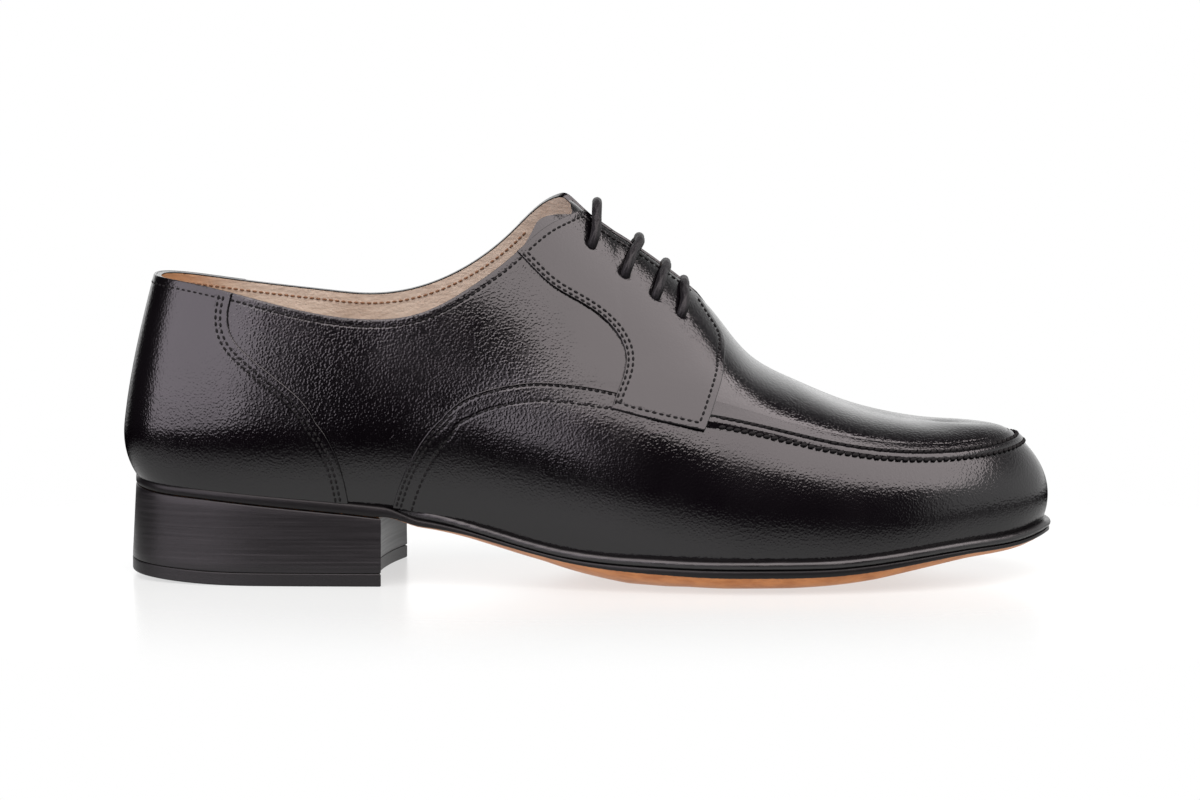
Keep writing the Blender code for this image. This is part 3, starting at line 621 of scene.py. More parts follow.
def brighter(colour: tuple, factor: float) -> tuple:
    """A colour made lighter, for worn places."""
    return tuple(part * factor for part in colour)


@dataclass(frozen=True)
class BlackLeather:
    """Pebbled black leather: fine round grain, faint wrinkles and pressed-in seams."""

    name: str = "black_leather_grain"
    colour: tuple = (0.0014, 0.0010, 0.0015)
    worn: float = 1.6
    worn_span: tuple = (0.35, 0.7)
    shade_scale: float = 14.0
    roughness: float = 0.16
    gloss_scale: float = 35.0
    gloss_span: tuple = (0.3, 0.7)
    glossier: float = 0.04
    duller: float = 0.05
    coat: float = 0.0
    coat_roughness: float = 0.12
    specular: float = 0.5
    grain: float = 0.000032
    grain_scale: float = 1300.0
    grain_border: float = 0.75
    grain_span: tuple = (0.2, 0.62)
    pore_scale: float = 3600.0
    pore_share: float = 0.22
    patch_scale: float = 90.0
    patch_span: tuple = (0.3, 0.75, 0.75, 1.0)
    wrinkle: float = 0.000006
    wrinkle_scale: tuple = (200.0, 200.0, 320.0)
    seam_depth: float = 0.00007
    seam_reach: float = 0.0010

    def make(self) -> Material:
        """Builds the material."""
        nodes = Nodes(self.name)
        pebbles = nodes.span(nodes.cells(self.grain_scale, self.grain_border), *self.grain_span)
        pores = nodes.math("MULTIPLY", nodes.noise(self.pore_scale), self.pore_share)
        patchy = nodes.span(nodes.noise(self.patch_scale), *self.patch_span)
        relief = nodes.math("MULTIPLY", nodes.math("ADD", pebbles, pores), patchy)
        normal = nodes.shape(relief, -self.grain)
        normal = nodes.shape(nodes.noise(self.wrinkle_scale), self.wrinkle, normal)
        trough = nodes.span(nodes.attribute("seam"), 0.0, self.seam_reach)
        normal = nodes.shape(trough, self.seam_depth, normal)
        shade = nodes.span(nodes.noise(self.shade_scale, 3.0), *self.worn_span)
        colour = nodes.blend(shade, self.colour, brighter(self.colour, self.worn))
        ends = self.roughness - self.glossier, self.roughness + self.duller
        gloss = nodes.span(nodes.noise(self.gloss_scale, 3.0), *self.gloss_span, *ends)
        return nodes.finish(
            colour, gloss, self.specular, normal, Coat_Weight=self.coat,
            Coat_Roughness=self.coat_roughness, Coat_Normal=normal,
        )


@dataclass(frozen=True)
class Lining:
    """Natural pigskin lining: pale, matt, a little rumpled and speckled with pores."""

    name: str = "lining_leather"
    colour: tuple = (0.47, 0.41, 0.325)
    dark: tuple = (0.38, 0.31, 0.235)
    heel: tuple = (0.40, 0.21, 0.10)
    heel_span: tuple = (-0.128, -0.098)
    heel_ragged: float = 0.02
    stain_scale: float = 40.0
    stain_span: tuple = (0.42, 0.72)
    rumple: float = 0.0009
    rumple_scale: tuple = (90.0, 90.0, 190.0)
    rumple_strength: float = 0.8
    pore: float = 0.00008
    pore_scale: float = 900.0
    roughness: float = 0.62
    specular: float = 0.3

    def make(self) -> Material:
        """Builds the material."""
        nodes = Nodes(self.name)
        rumple = nodes.noise(self.rumple_scale, 4.0, 0.6)
        normal = nodes.shape(rumple, self.rumple, strength=self.rumple_strength)
        normal = nodes.shape(nodes.cells(self.pore_scale, 0.3), -self.pore, normal)
        stain = nodes.noise(self.stain_scale, 4.0, 0.6)
        colour = nodes.blend(nodes.span(stain, *self.stain_span), self.colour, self.dark)
        x = nodes.math("MULTIPLY_ADD", stain, self.heel_ragged, nodes.split(nodes.place())["X"])
        colour = nodes.blend(nodes.span(x, *self.heel_span, 1.0, 0.0), colour, self.heel)
        return nodes.finish(colour, self.roughness, self.specular, normal)


@dataclass(frozen=True)
class EdgeBlack:
    """Leather edge, dyed black and burnished along its length; lumps and wax show where they are set."""

    name: str = "edge_black"
    colour: tuple = (0.004, 0.0038, 0.0042)
    worn: float = 2.6
    worn_span: tuple = (0.5, 0.75)
    streak: float = 0.00012
    streak_scale: tuple = (60.0, 60.0, 1400.0)
    streak_rough: float = 0.6
    lump: float = 0.00018
    lump_scale: float = 260.0
    gloss_span: tuple = (0.3, 0.7)
    roughness: tuple = (0.24, 0.42)
    specular: float = 0.5
    coat: float = 0.1
    coat_roughness: float = 0.15

    def make(self) -> Material:
        """Builds the material."""
        nodes = Nodes(self.name)
        lines = nodes.noise(self.streak_scale, 4.0, self.streak_rough)
        normal = nodes.shape(lines, self.streak)
        if self.lump:
            normal = nodes.shape(nodes.noise(self.lump_scale, 3.0), self.lump, normal)
        gloss = nodes.span(lines, *self.gloss_span, *self.roughness)
        worn = brighter(self.colour, self.worn)
        colour = nodes.blend(nodes.span(lines, *self.worn_span), self.colour, worn)
        coat = {"Coat_Weight": self.coat, "Coat_Roughness": self.coat_roughness}
        return nodes.finish(colour, gloss, self.specular, normal, **coat)


@dataclass(frozen=True)
class SoleLeather:
    """Natural sole leather under a black edge; the piece's points say how far the paint runs."""

    name: str = "sole_leather_natural"
    colour: tuple = (0.52, 0.20, 0.06)
    dark: tuple = (0.36, 0.12, 0.03)
    dark_span: tuple = (0.35, 0.75)
    paint: tuple = (0.005, 0.0047, 0.005)
    paint_span: tuple = (0.56, 0.66)
    ragged: float = 0.22
    ragged_scale: float = 900.0
    fibre: float = 0.00010
    fibre_scale: tuple = (150.0, 260.0, 260.0)
    scuff: float = 0.00010
    scuff_scale: tuple = (30.0, 190.0, 60.0)
    scuff_strength: float = 0.7
    roughness: float = 0.42
    paint_roughness: float = 0.34
    specular: float = 0.22

    def make(self) -> Material:
        """Builds the material."""
        nodes = Nodes(self.name)
        fibres = nodes.noise(self.fibre_scale, 4.0, 0.6)
        scuffs = nodes.noise(self.scuff_scale, 4.0, 0.65)
        tan = nodes.blend(nodes.span(fibres, *self.dark_span), self.colour, self.dark)
        rim = nodes.math("MULTIPLY", nodes.noise(self.ragged_scale), self.ragged)
        share = nodes.span(nodes.math("ADD", nodes.attribute("paint"), rim), *self.paint_span)
        colour = nodes.blend(share, tan, self.paint)
        gloss = nodes.span(share, 0.0, 1.0, self.roughness, self.paint_roughness)
        normal = nodes.shape(fibres, self.fibre)
        normal = nodes.shape(scuffs, self.scuff, normal, self.scuff_strength)
        return nodes.finish(colour, gloss, self.specular, normal)


@dataclass(frozen=True)
class Sock:
    """Tan leather sock on the insole."""

    name: str = "sock_leather_tan"
    colour: tuple = (0.50, 0.30, 0.16)
    dark: tuple = (0.38, 0.20, 0.10)
    dark_span: tuple = (0.35, 0.75)
    shade_scale: float = 30.0
    pore: float = 0.00006
    pore_scale: float = 1100.0
    roughness: float = 0.55
    specular: float = 0.35

    def make(self) -> Material:
        """Builds the material."""
        nodes = Nodes(self.name)
        shade = nodes.span(nodes.noise(self.shade_scale, 4.0, 0.6), *self.dark_span)
        normal = nodes.shape(nodes.cells(self.pore_scale, 0.3), -self.pore)
        colour = nodes.blend(shade, self.colour, self.dark)
        return nodes.finish(colour, self.roughness, self.specular, normal)


@dataclass(frozen=True)
class Rubber:
    """Matt black rubber of the heel's lift."""

    name: str = "lift_rubber_black"
    colour: tuple = (0.005, 0.0046, 0.005)
    grit: float = 0.00005
    grit_scale: float = 1800.0
    mark_scale: tuple = (60.0, 60.0, 900.0)
    roughness: float = 0.45
    specular: float = 0.3

    def make(self) -> Material:
        """Builds the material."""
        nodes = Nodes(self.name)
        height = nodes.math("ADD", nodes.noise(self.grit_scale, 3.0), nodes.noise(self.mark_scale, 3.0))
        return nodes.finish(self.colour, self.roughness, self.specular, nodes.shape(height, self.grit))


@dataclass(frozen=True)
class Thread:
    """Waxed thread with a little fuzz."""

    name: str
    colour: tuple
    fuzz: float = 0.00006
    fuzz_scale: float = 3200.0
    roughness: float = 0.75
    specular: float = 0.2

    def make(self) -> Material:
        """Builds the material."""
        nodes = Nodes(self.name)
        normal = nodes.shape(nodes.noise(self.fuzz_scale), self.fuzz)
        return nodes.finish(self.colour, self.roughness, self.specular, normal)


@dataclass(frozen=True)
class WaxedCord:
    """Round braided lace with wax on it; the braid follows the piece's UV map, in turns and metres."""

    name: str = "waxed_lace"
    colour: tuple = (0.004, 0.0036, 0.0045)
    light: tuple = (0.012, 0.011, 0.013)
    light_span: tuple = (0.45, 0.8)
    strands: int = 4
    braid_turn: float = 900.0
    braid: float = 0.00012
    fuzz: float = 0.00012
    fuzz_scale: float = 2400.0
    roughness: float = 0.5
    specular: float = 0.3

    def make(self) -> Material:
        """Builds the material."""
        nodes = Nodes(self.name)
        uv = nodes.split(nodes.uv())
        waves = []
        for way in (1, -1):
            around = nodes.math("MULTIPLY", uv["X"], way * 2 * math.pi * self.strands)
            phase = nodes.math("MULTIPLY_ADD", uv["Y"], self.braid_turn, around)
            waves.append(nodes.math("SINE", phase))
        fuzz = nodes.noise(self.fuzz_scale, 3.0)
        normal = nodes.shape(nodes.math("MAXIMUM", *waves), self.braid)
        normal = nodes.shape(fuzz, self.fuzz, normal)
        colour = nodes.blend(nodes.span(fuzz, *self.light_span), self.colour, self.light)
        return nodes.finish(colour, self.roughness, self.specular, normal)


class Finishes:
    """The shoe's materials, each made once and kept with the record's slot for it."""

    def __init__(self) -> None:
        """Makes them all."""
        plug = BlackLeather(
            "black_leather_apron", grain=0.00004, wrinkle=0.000004,
            roughness=0.15, coat=0.2, coat_roughness=0.10,
        )
        heel = EdgeBlack(
            "heel_stack_black", (0.006, 0.0055, 0.006), worn=2.4, worn_span=(0.45, 0.8), streak=0.00003,
            streak_scale=(22.0, 22.0, 1500.0), streak_rough=0.65, lump=0.0, gloss_span=(0.3, 0.75),
            roughness=(0.30, 0.42), specular=0.32, coat=0.0,
        )
        black_thread = Thread("black_thread", (0.004, 0.0038, 0.004))
        brown_thread = Thread("brown_thread", (0.16, 0.085, 0.045))
        self.leather: Finish = BlackLeather().make(), Slot.BLACK_LEATHER
        self.plug: Finish = plug.make(), Slot.BLACK_LEATHER
        self.lining: Finish = Lining().make(), Slot.SOCK_LEATHER
        self.edge: Finish = EdgeBlack().make(), Slot.BLACK_EDGE
        self.sole: Finish = SoleLeather().make(), Slot.SOLE_LEATHER
        self.sock: Finish = Sock().make(), Slot.SOCK_LEATHER
        self.heel: Finish = heel.make(), Slot.HEEL_BLACK
        self.rubber: Finish = Rubber().make(), Slot.LIFT_RUBBER
        self.black_thread: Finish = black_thread.make(), Slot.BLACK_LEATHER
        self.brown_thread: Finish = brown_thread.make(), Slot.SOCK_LEATHER
        self.cord: Finish = WaxedCord().make(), Slot.WAXED_CORD


class Track:
    """A line drawn on the last, read from 0 to 1."""

    NUDGE_T, NUDGE_W = 1e-5, 1e-3
    LOWEST = -0.03

    def __init__(self, last: Last, places: Array) -> None:
        """Fits a smooth line through places.

        Args:
            last: The form that it lies on.
            places: Rows of t and w.
        """
        self.last = last
        places = np.asarray(places, float)
        knots = chord_lengths(last.point(places[:, 0], places[:, 1]))
        self.length = float(knots[-1])
        self.curve = SmoothCurve(knots / knots[-1], places)

    def __call__(self, share: Array) -> Array:
        """The t and w at shares of the line."""
        return self.curve(np.clip(share, 0.0, 1.0))

    def points(self, count: int, lift: float | Line = 0.0) -> Pair:
        """Points along the line and the outward directions there.

        Args:
            count: How many points.
            lift: How far they stand off the last, or a function of the points on it.

        Returns:
            The points and the directions.
        """
        t, w = self(np.linspace(0, 1, count)).T
        normals = self.last.normal(t, w)
        points = self.last.point(t, w)
        height = lift(points) if callable(lift) else lift
        return points + normals * np.reshape(height, (-1, 1)), normals

    def beside(self, distance: float, start: float = 0.0, end: float = 1.0, count: int = 41) -> "Track":
        """A line at a distance to the left of this one, as seen from outside.

        Args:
            distance: How far to the left, in metres; to the right where it is negative.
            start: Share of this line at which the new one starts.
            end: Share at which it ends.
            count: How many places it is fitted through.

        Returns:
            The new line.
        """
        places = self(np.linspace(start, end, count))
        t, w = places.T
        here = self.last.point(t, w)
        normals = self.last.normal(t, w)
        tangent = unit(np.gradient(here, axis=0))
        left = np.cross(normals, tangent) * distance
        by_t = (self.last.point(t + self.NUDGE_T, w) - here) / self.NUDGE_T
        by_w = (self.last.point(t, w - self.NUDGE_W) - here) / -self.NUDGE_W
        shifts = []
        for a, b, want in zip(by_t, by_w, left):
            shifts.append(np.linalg.lstsq(np.stack([a, b], axis=1), want, rcond=None)[0])
        moved = places + np.array(shifts)
        moved[:, 1] = np.clip(moved[:, 1], self.LOWEST, 2.0)
        return Track(self.last, moved)


def four_sided(bottom: Callable, top: Callable, left: Callable, right: Callable) -> Spots:
    """Fills the space between four lines that meet at their ends.

    Args:
        bottom: Line from the left to the right, as a function of a share.
        top: Line from the left to the right.
        left: Line from the bottom to the top.
        right: Line from the bottom to the top.

    Returns:
        A function from shares across and up to t and w.
    """
    ends = np.array([0.0, 1.0])
    (low_left, low_right), (high_left, high_right) = bottom(ends), top(ends)

    def spots(u: Array, v: Array) -> Pair:
        """The t and w at shares of the patch."""
        a, b = u[:, None], v[:, None]
        edges = (1 - b) * bottom(u) + b * top(u) + (1 - a) * left(v) + a * right(v)
        corners = (1 - a) * (1 - b) * low_left + a * (1 - b) * low_right
        corners = corners + (1 - a) * b * high_left + a * b * high_right
        return tuple((edges - corners).T)

    return spots


def laid_grid(along: int, up: int, place: Callable[[Array, Array], Array]) -> Mesh:
    """A grid whose points are moved to their places.

    Args:
        along: Number of cells from left to right.
        up: Number of cells from bottom to top.
        place: Gives the points' coordinates from their shares across and up.

    Returns:
        The mesh, with a UV map of the shares.
    """
    mesh = bmesh.new()
    mesh.loops.layers.uv.new("UVMap")
    bmesh.ops.create_grid(mesh, x_segments=along, y_segments=up, size=0.5, calc_uvs=True)
    shares = np.array([vert.co for vert in mesh.verts])[:, :2] + 0.5
    for vert, point in zip(mesh.verts, place(shares[:, 0], shares[:, 1])):
        vert.co = point
    return mesh


def weld(mesh: Mesh, distance: float = 2e-6) -> None:
    """Merges points that lie on each other, as where a ring closes."""
    bmesh.ops.remove_doubles(mesh, verts=mesh.verts, dist=distance)


def close(mesh: Mesh) -> None:
    """Fills the open ends of a tube or ring and turns its faces out."""
    bmesh.ops.holes_fill(mesh, edges=mesh.edges, sides=0)
    bmesh.ops.recalc_face_normals(mesh, faces=mesh.faces)


def smooth(mesh: Mesh, verts: Sequence[bmesh.types.BMVert], rounds: int) -> None:
    """Evens out points between their neighbours, several times over."""
    for _ in range(rounds):
        bmesh.ops.smooth_vert(
            mesh, verts=verts, factor=0.5, use_axis_x=True, use_axis_y=True, use_axis_z=True,
        )


def as_data(mesh: Mesh, name: str) -> bpy.types.Mesh:
    """Turns a mesh that is being built into kept data."""
    data = bpy.data.meshes.new(name)
    mesh.to_mesh(data)
    mesh.free()
    return data


def linked(name: str, data: bpy.types.ID) -> bpy.types.Object:
    """Puts a new object with this data into the scene."""
    item = bpy.data.objects.new(name, data)
    bpy.context.scene.collection.objects.link(item)
    return item


def hem(mesh: Mesh, radius: float, depth: float, steps: int = 3) -> None:
    """Turns the free edges of a sheet down into a rounded fold.

    Args:
        mesh: The sheet.
        radius: Radius of the fold.
        depth: How far the fold reaches below the sheet.
        steps: Number of strips in the rounding.
    """
    mesh.normal_update()
    edges = [edge for edge in mesh.edges if edge.is_boundary]
    ways = {}
    for edge in edges:
        loop = edge.link_loops[0]
        one, two = loop.vert, loop.link_loop_next.vert
        away = (two.co - one.co).normalized().cross(loop.face.normal)
        for vert in (one, two):
            ways[vert.index] = ways.get(vert.index, Vector()) + away
    mesh.verts.index_update()
    frames = {vert: (vert.co.copy(), ways[vert.index].normalized(), vert.normal.copy())
              for vert in {v for edge in edges for v in edge.verts}}
    for step in range(1, steps + 2):
        turn = min(step, steps) / steps * math.pi / 2
        out, down = radius * math.sin(turn), radius * (1 - math.cos(turn))
        if step > steps:
            down = depth
        grown = bmesh.ops.extrude_edge_only(mesh, edges=edges)["geom"]
        edges = [item for item in grown if isinstance(item, bmesh.types.BMEdge) and item.is_boundary]
        fresh = [item for item in grown if isinstance(item, bmesh.types.BMVert)]
        after = {}
        for vert in fresh:
            before = next(v for e in vert.link_edges for v in e.verts if v in frames)
            origin, away, normal = frames[before]
            vert.co = origin + away * out - normal * down
            after[vert] = frames[before]
        frames = after


class Nearness:
    """Distance to a set of lines, for the fields that the finishes read."""

    def __init__(self, lines: Sequence[Array]) -> None:
        """Sorts the lines' points.

        Args:
            lines: Arrays of points, each close to the next.
        """
        points = np.vstack(lines)
        self.tree = kdtree.KDTree(len(points))
        for i, point in enumerate(points):
            self.tree.insert(point, i)
        self.tree.balance()

    def __call__(self, points: Array) -> Array:
        """How far each point is from the nearest line."""
        return np.array([self.tree.find(point)[2] for point in points])


@dataclass
class Workshop:
    """What every sub-assembly works with."""

    last: Last
    finishes: Finishes
    eyelets: dict = field(default_factory=dict)

    def keep(
        self, mesh: Mesh, name: str, finish: Finish, *nodes: str, sharp: float = 50.0,
    ) -> None:
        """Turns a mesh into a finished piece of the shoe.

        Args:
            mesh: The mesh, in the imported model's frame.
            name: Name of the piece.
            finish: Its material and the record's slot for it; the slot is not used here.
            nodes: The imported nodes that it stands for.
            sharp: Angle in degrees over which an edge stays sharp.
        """
        material, slot = finish
        data = as_data(mesh, name)
        data.shade_smooth()
        data.set_sharp_from_angle(angle=math.radians(sharp))
        data.materials.append(material)
        piece = linked(name, data)
        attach(piece, "root")
        if nodes:
            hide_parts(*nodes)
        log.info("%s: %d faces", name, len(data.polygons))

    def skin(self, along: int, up: int, spots: Spots, lift: Lift) -> Mesh:
        """A sheet of leather on the last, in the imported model's frame.

        Args:
            along: Number of cells from left to right.
            up: Number of cells from bottom to top.
            spots: The t and w of a cell's corner, from its shares.
            lift: How far it stands off the last there.

        Returns:
            The sheet.
        """

        def place(u: Array, v: Array) -> Array:
            """Coordinates of the sheet's points."""
            t, w = spots(u, v)
            points = self.last.point(t, w)
            return points + self.last.normal(t, w) * lift(points, t, w)[:, None] + self.last.centre

        return laid_grid(along, up, place)


@dataclass(frozen=True)
class Stitch:
    """Sizes of a stitch; slant turns it out of its row, in radians."""

    pitch: float = 0.0021
    length: float = 0.00155
    width: float = 0.00078
    height: float = 0.00052
    slant: float = 0.0
    segments: int = 8
    rings: int = 6


FINE_STITCH = Stitch()
APRON_STITCH = Stitch(pitch=0.0024, length=0.0023, width=0.0013, height=0.0011, slant=0.22)


@dataclass
class Seam:
    """A row of stitches along a line on the last."""

    track: Track
    lift: float | Line
    stitch: Stitch = FINE_STITCH

    SAMPLES = 600

    def line(self, spacing: float = 0.0004) -> Array:
        """Closely spaced points along the row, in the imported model's frame."""
        count = max(int(self.track.length / spacing), 2)
        points, _ = self.track.points(count, self.lift)
        return points + self.track.last.centre

    def sew(self, mesh: Mesh) -> None:
        """Adds the row's stitches to a mesh.

        Args:
            mesh: The mesh that takes them.
        """
        stitch = self.stitch
        points, normals = self.track.points(self.SAMPLES, self.lift)
        points = points + self.track.last.centre
        run = chord_lengths(points)
        count = max(int(run[-1] / stitch.pitch), 1)
        quarter = Matrix.Rotation(math.pi / 2, 4, "Y")
        for place in (np.arange(count) + 0.5) * run[-1] / count:
            ends = [place - stitch.length / 2, place + stitch.length / 2]
            tail, head = (np.array([np.interp(end, run, points[:, k]) for k in range(3)]) for end in ends)
            up = Vector([np.interp(place, run, normals[:, k]) for k in range(3)]).normalized()
            along = Vector(head - tail).normalized()
            if stitch.slant:
                along = Matrix.Rotation(stitch.slant, 3, up) @ along
            across = up.cross(along).normalized()
            turn = Matrix((along, across, up)).transposed().to_4x4()
            size = Matrix.Diagonal((stitch.length / 2, stitch.width / 2, stitch.height / 2, 1.0))
            where = Matrix.Translation(Vector(tail + head) / 2) @ turn @ size @ quarter
            bmesh.ops.create_uvsphere(
                mesh, u_segments=stitch.segments, v_segments=stitch.rings, radius=1.0, matrix=where,
            )


def sewn(shop: Workshop, name: str, seams: Sequence[Seam], thread: Finish) -> None:
    """Makes one piece of several rows of stitches.

    Args:
        shop: The workshop.
        name: Name of the piece.
        seams: The rows.
        thread: Their finish.
    """
    whole = bmesh.new()
    for seam in seams:
        row = bmesh.new()
        seam.sew(row)
        data = as_data(row, "row")
        whole.from_mesh(data)
        bpy.data.meshes.remove(data)
    shop.keep(whole, name, thread, sharp=180.0)


def flat_lift(height: float) -> Lift:
    """Lets a sheet stand off the last by the same height everywhere."""
    return lambda points, t, w: np.full(len(t), height)


def set_field(mesh: Mesh, name: str, values: Array) -> None:
    """Keeps a number on each point of a mesh, for its finish to read."""
    layer = mesh.verts.layers.float.new(name)
    for vert, value in zip(mesh.verts, values):
        vert[layer] = value


def press_seams(mesh: Mesh, seams: Sequence[Seam], *lines: Array) -> None:
    """Tells the leather's finish how far each point is from the nearest seam or further line."""
    near = Nearness([*(seam.line() for seam in seams), *lines])
    set_field(mesh, "seam", near(np.array([vert.co for vert in mesh.verts])))


@dataclass
class Upper:
    """The black leather panels, the lining and their seams.

    Lengths are in metres and the places of outlines in millimetres. A tuck is how far a panel
    goes under the feather line, as a share of the lower wall. A row of stitches is its distance
    from an edge, then the shares of that edge where it starts and ends.
    """

    shop: Workshop
    panel: float = 0.0008
    wall: float = 0.0016
    fold: float = 0.00025
    tuck: float = -0.012
    view_middle: tuple = (153.1, 56.0)
    closeness: float = 1.027
    around_count: int = 2401
    soft_corner: int = 21
    thread_lift: float = 0.0001

    quarter_foot: float = 0.178
    quarter_throat: tuple = (0.1850, -0.0098)
    quarter_lean: tuple = (0.3, 1.0)
    hollow_middle: tuple = (0.112, 0.066)
    hollow_reach: tuple = (0.045, 0.030)
    hollow_depth: float = 0.0009
    topline_row: float = 0.0021
    topline_lift: float = 0.0002
    facing_shadow: float = -0.0002

    counter_rows: tuple = ((0.0021, 0.01, 0.985), (0.0036, 0.01, 0.985))
    counter_top_row: tuple = (0.0024, 0.03, 0.97)

    wing_fade: tuple = (0.150, 0.186)
    wing_lead: float = 0.06
    wing_rows: tuple = ((0.0008, 0.01, 0.90), (0.0022, 0.01, 0.36), (0.0058, 0.01, 0.90))
    crowding: tuple = (1.7, 0.15)
    band: float = 0.0027
    band_rise: float = 0.0009
    band_fade: tuple = (0.80, 1.30)
    band_edge: tuple = (-0.0002, 0.0006)
    band_front: tuple = (0.176, 0.190)
    band_crown: float = 0.25
    band_row: float = 1.15

    apron_start: float = 0.196
    apron_w: float = 0.999
    apron_lifts: tuple = (0.0006, 0.0005)
    plug_start: float = 0.188
    plug_ridge: float = 0.181
    plug_sink: float = 0.0005
    plug_span: tuple = (1.0, 1.16)
    plug_tip: tuple = (0.085, 0.016)
    plug_rounds: int = 30

    facing_step: float = 0.0008
    facing_rise: float = 0.0006
    facing_fade: tuple = (0.064, 0.076)
    facing_rounds: int = 8
    throat_halves: tuple = (0.0088, 0.0040)
    throat_ends: tuple = (0.1500, 0.1838)
    throat_blend: tuple = (-0.003, 0.010)
    throat_start: float = 0.1515
    throat_stop: float = 0.93
    soft_throat: int = 15
    rib_count: int = 160
    pucker: float = 0.0009
    pucker_width: float = 0.0024
    rear_rows: tuple = ((0.0005, 0.02, 0.98), (0.0019, 0.03, 0.97))
    front_row: tuple = (0.0021, 0.03, 0.95)
    foot_row: tuple = (0.0018, 0.03, 0.94)
    upper_row: tuple = (0.0021, 0.03, 0.97)

    edge_radius: float = 0.0004
    edge_sunk: float = 2.2
    lining_below: float = 0.002
    lining_row: float = 0.0030

    seams: dict = field(default_factory=dict)
    throat_edges: dict = field(default_factory=dict)

    # Cells of each panel, along it and up
    CELLS = {
        "quarters": (480, 100), "counter": (240, 110), "vamp": (560, 130),
        "plug": (200, 260), "facing": (150, 150), "lining": (420, 60),
    }
    # Outlines as seen level from the side, in millimetres from the heel and above the floor
    COUNTER_EDGE = ((70.6, 27.8), (67.0, 41.6), (62.0, 50.8), (57.0, 58.3), (48.8, 65.7), (40.5, 72.3),
                    (32.6, 81.1), (31.8, 87.6), (32.6, 91.5))
    WING_EDGE = ((85.6, 26.1), (88.2, 32.2), (94.7, 45.5), (104.4, 57.0), (117.4, 63.7), (130.4, 66.1),
                 (140.1, 65.9), (156.3, 63.5), (170.0, 60.0))
    FACING_REAR = ((157.0, 58.2), (158.6, 62.5), (160.9, 68.5), (161.6, 75.3), (158.0, 82.6), (149.9, 89.6),
                   (137.5, 97.0), (126.5, 103.3))
    FACING_FRONT = ((186.5, 51.3), (189.9, 60.0), (192.2, 67.0), (193.3, 74.0), (192.7, 79.5), (189.6, 84.6))
    FACING_FOOT = ((157.0, 58.2), (170.0, 55.0), (186.5, 51.3))

    def __post_init__(self) -> None:
        """Draws the lines that the panels share."""
        last = self.shop.last
        self.around = np.linspace(-last.half, last.half, self.around_count)
        self.tops = softened(last.top_of(self.around), self.soft_corner)

    def top(self, t: Array) -> Array:
        """The w of the wall's upper edge at t."""
        half = self.shop.last.half
        return np.interp((np.asarray(t) + half) % (2 * half) - half, self.around, self.tops)

    def from_heel(self, places: Array, side: Side) -> Array:
        """Counts the inner side's t back from the heel, as negative numbers."""
        if side is Side.INNER:
            places = places - np.array([2 * self.shop.last.half, 0.0])
        return places

    def edge(self, points: Sequence, side: Side) -> Array:
        """Places of an outline's points on one side, from millimetres as seen level from the side."""
        middle = np.array(self.view_middle)
        return self.shop.last.spots(middle + (np.array(points) - middle) / self.closeness, side)

    def build(self) -> None:
        """Makes every panel of the upper."""
        self.counter_tracks, self.wing_tracks = {}, {}
        for side in Side:
            places = self.from_heel(self.edge(self.COUNTER_EDGE, side), side)
            places[0, 1] = self.tuck
            places[-1, 1] = self.top(places[-1, 0])
            self.counter_tracks[side] = Track(self.shop.last, places)
            places = self.edge(self.WING_EDGE, side)
            places[0, 1] = self.tuck
            self.wing_tracks[side] = Track(self.shop.last, places)
        self.make_quarters()
        self.make_counter()
        self.make_vamp()
        self.make_plug()
        for side in Side:
            self.make_facing(side)
        self.make_throat_edges()
        self.make_lining()
        self.sew()

    def make_quarters(self) -> None:
        """The wall behind the vamp, from the inner side round the heel to the outer side."""
        last = self.shop.last
        foot = last.foot_at(self.quarter_foot, Side.OUTER)
        throat = last.spot(self.quarter_throat, Side.OUTER, plan=True)[0]

        def spots(u: Array, v: Array) -> Pair:
            """Evenly spaced ribs from side to side, ending under the facings' front edges."""
            t = (2 * u - 1) * (foot + (throat - foot) * ease(v, *self.quarter_lean))
            return t, self.tuck + (self.top(t) - self.tuck) * v

        mesh = self.shop.skin(*self.CELLS["quarters"], spots, self.quarter_lift)
        shadows = [self.facing_row(side, self.facing_shadow) for side in Side]
        press_seams(mesh, [self.topline_seam(self.topline_row)], *shadows)
        hem(mesh, self.fold, self.wall)
        self.shop.keep(mesh, "quarters", self.shop.finishes.leather, "upper")

    def quarter_lift(self, points: Array, t: Array, w: Array) -> Array:
        """The quarters' soft hollow under the ankle."""
        (x, z), (reach_x, reach_z) = self.hollow_middle, self.hollow_reach
        return -bump(points[:, 0], x, reach_x) * bump(points[:, 2], z, reach_z) * self.hollow_depth

    def top_edge(self, start: float, end: float, count: int) -> Track:
        """The collar's edge between two places round the shoe."""
        t = np.linspace(start, end, count)
        return Track(self.shop.last, np.stack([t, self.top(t)], axis=1))

    def topline_seam(self, below: float) -> Seam:
        """A row of stitches below the collar's edge, from facing to facing round the heel."""
        ends = (
            self.from_heel(self.edge(self.FACING_REAR[-1:], side), side)[0, 0]
            for side in (Side.INNER, Side.OUTER)
        )
        return Seam(self.top_edge(*ends, 120).beside(-below, count=120), self.topline_lift)

    def facing_row(self, side: Side, lift: float) -> Array:
        """Points along the rear seam of a facing, for the finish of what lies behind it."""
        track = Track(self.shop.last, self.edge(self.FACING_REAR, side))
        return track.points(200, lift)[0] + self.shop.last.centre

    def make_counter(self) -> None:
        """The heel counter, laid over the quarters."""
        inner, outer = self.counter_tracks[Side.INNER], self.counter_tracks[Side.OUTER]

        def along(height: Line, end: int) -> Line:
            """A line from the inner edge to the outer one, at a height given by t."""
            start, stop = inner(np.array([float(end)]))[0, 0], outer(np.array([float(end)]))[0, 0]

            def line(share: Array) -> Array:
                """The t and w at shares of the line."""
                t = start + (stop - start) * share
                return np.stack([t, height(t)], axis=1)

            return line

